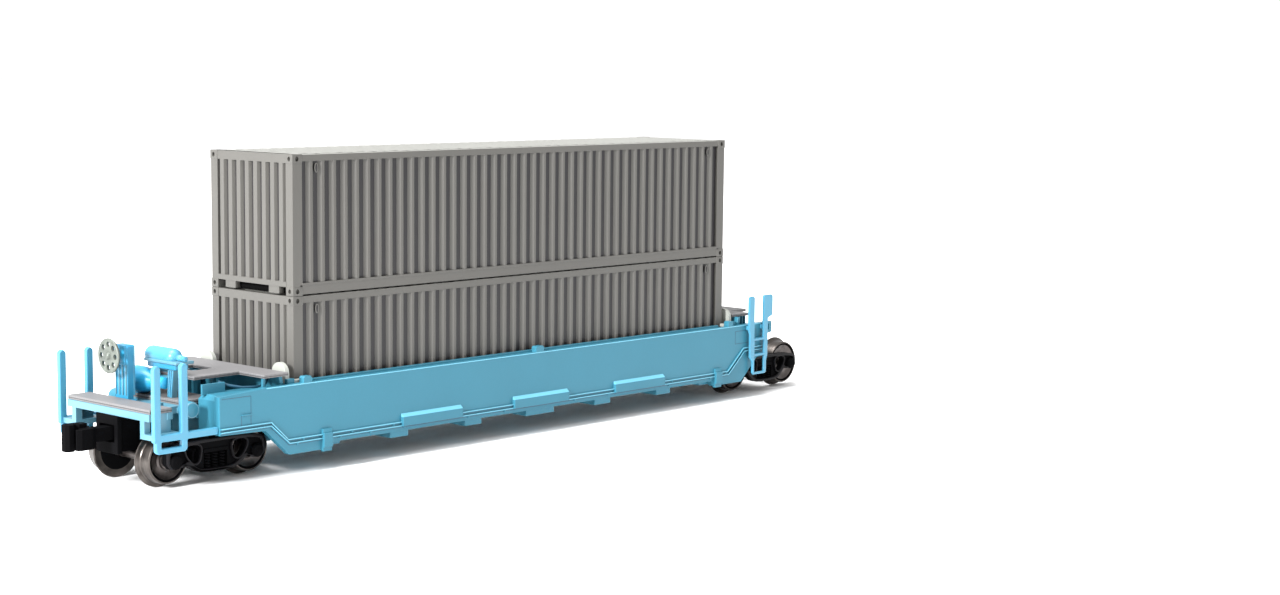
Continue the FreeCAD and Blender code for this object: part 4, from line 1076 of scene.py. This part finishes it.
def dressWheelset(name, x, radius):
    # treads and flanges are bright, faces and axle dark
    top = radius + 0.5
    rim = [(3.8, radius - 0.4), (3.8, top - 0.12), (3.86, top - 0.03), (3.95, top), (4.04, top - 0.03),
           (4.12, top - 0.14), (4.2, radius + 0.16), (4.34, radius + 0.04), (4.5, radius),
           (5.6, radius - 0.03), (5.72, radius - 0.08), (5.75, radius - 0.14), (5.75, radius - 0.24)]
    groove = [(5.75, radius - 0.24), (5.66, radius - 0.28), (5.5, radius - 0.38), (5.5, radius - 0.46),
              (5.62, radius - 0.52)]
    face = [(5.62, radius - 0.52), (5.56, radius - 0.62), (5.36, radius - 0.95), (5.3, 1.2), (5.4, 0.98),
            (5.68, 0.9), (5.72, 0.8), (5.72, 0.42)]
    back = [(3.8, 0.6), (3.8, radius - 0.4)]
    profiles = (("treadSteel", rim), ("truckBlack", groove), ("faceMetal", face), ("truckBlack", back))
    parts = []
    for side in (-1, 1):
        for coat, profile in profiles:
            parts.append((openLathe(profile, (x, 0, radius), side), coat))
    half = [(5.6, 0.6), (5.72, 0.5), (5.72, 0.42), (6.76, 0.4), (6.8, 0.36), (6.8, 0)]
    axle = lathe([(-d, q) for d, q in half[::-1]] + half, (x, 0, radius))
    dress(name, name, parts + [(axle, "faceMetal")])


for name, about in trucks.items():
    dressTruck(name, **about)
dress("coupler", "coupler", [(softened("coupler", 0.12, 3), "truckBlack")])
print("trucks and coupler dressed")

# a pale paper floor
floorMesh = bpy.data.meshes.new("floor")
reach = 3.0
ground = [(-reach, -reach, 0), (reach, -reach, 0), (reach, reach, 0), (-reach, reach, 0)]
floorMesh.from_pydata(ground, [], [(0, 1, 2, 3)])
floor = linked(floorMesh, "floor")
paper = Finish("paper", 0.9)
tones = [(0.3, (0.90, 0.90, 0.90)), (0.7, (0.93, 0.93, 0.93))]
paper.set("Base Color", paper.ramp(paper.noise(30, 3), tones))
floorMesh.materials.append(paper.material)

world = bpy.data.worlds.new("studio")
world.use_nodes = True
sky = world.node_tree.nodes["Background"].inputs
sky["Color"].default_value = (1, 1, 1, 1)
sky["Strength"].default_value = 1.1
bpy.context.scene.world = world

lamps = {
    "overhead": {"place": (-0.20, 0.05, 0.60), "aim": (0, 0, 0.02), "size": 0.4, "power": 7.2},
    "endSide": {"place": (-0.66, -0.065, 0.28), "aim": (-0.01, 0, 0.02), "size": 0.14, "power": 11.0},
}
for name, lamp in lamps.items():
    light = bpy.data.lights.new(name, "AREA")
    light.energy = lamp["power"]
    light.size = lamp["size"]
    holder = linked(light, name)
    holder.location = lamp["place"]
    holder.rotation_euler = (Vector(lamp["place"]) - Vector(lamp["aim"])).to_track_quat("Z", "Y").to_euler()

# the camera stands low off the car's front corner
view = {
    "place": (-193.87, -201.65, 47.53), "heading": 42.023, "fall": 6.371, "roll": 0.649,
    "lens": 61.03, "shift": -0.0024,
}
lens = bpy.data.cameras.new("view")
lens.lens = view["lens"]
lens.sensor_width = 36
lens.shift_x = view["shift"]
lens.clip_start = 0.01
heading, fall, roll = (math.radians(view[angle]) for angle in ("heading", "fall", "roll"))
forward = Vector((math.cos(fall) * math.cos(heading), math.cos(fall) * math.sin(heading), -math.sin(fall)))
right = forward.cross(Vector((0, 0, 1))).normalized()
upward = right.cross(forward)
across = right * math.cos(roll) + upward * math.sin(roll)
over = across.cross(forward)
camera = linked(lens, "view")
turned = Matrix((across, over, -forward)).transposed().to_4x4()
camera.matrix_world = Matrix.Translation(at(*view["place"])) @ turned
bpy.context.scene.camera = camera
bpy.context.scene.view_settings.view_transform = "Standard"
print("studio ready")
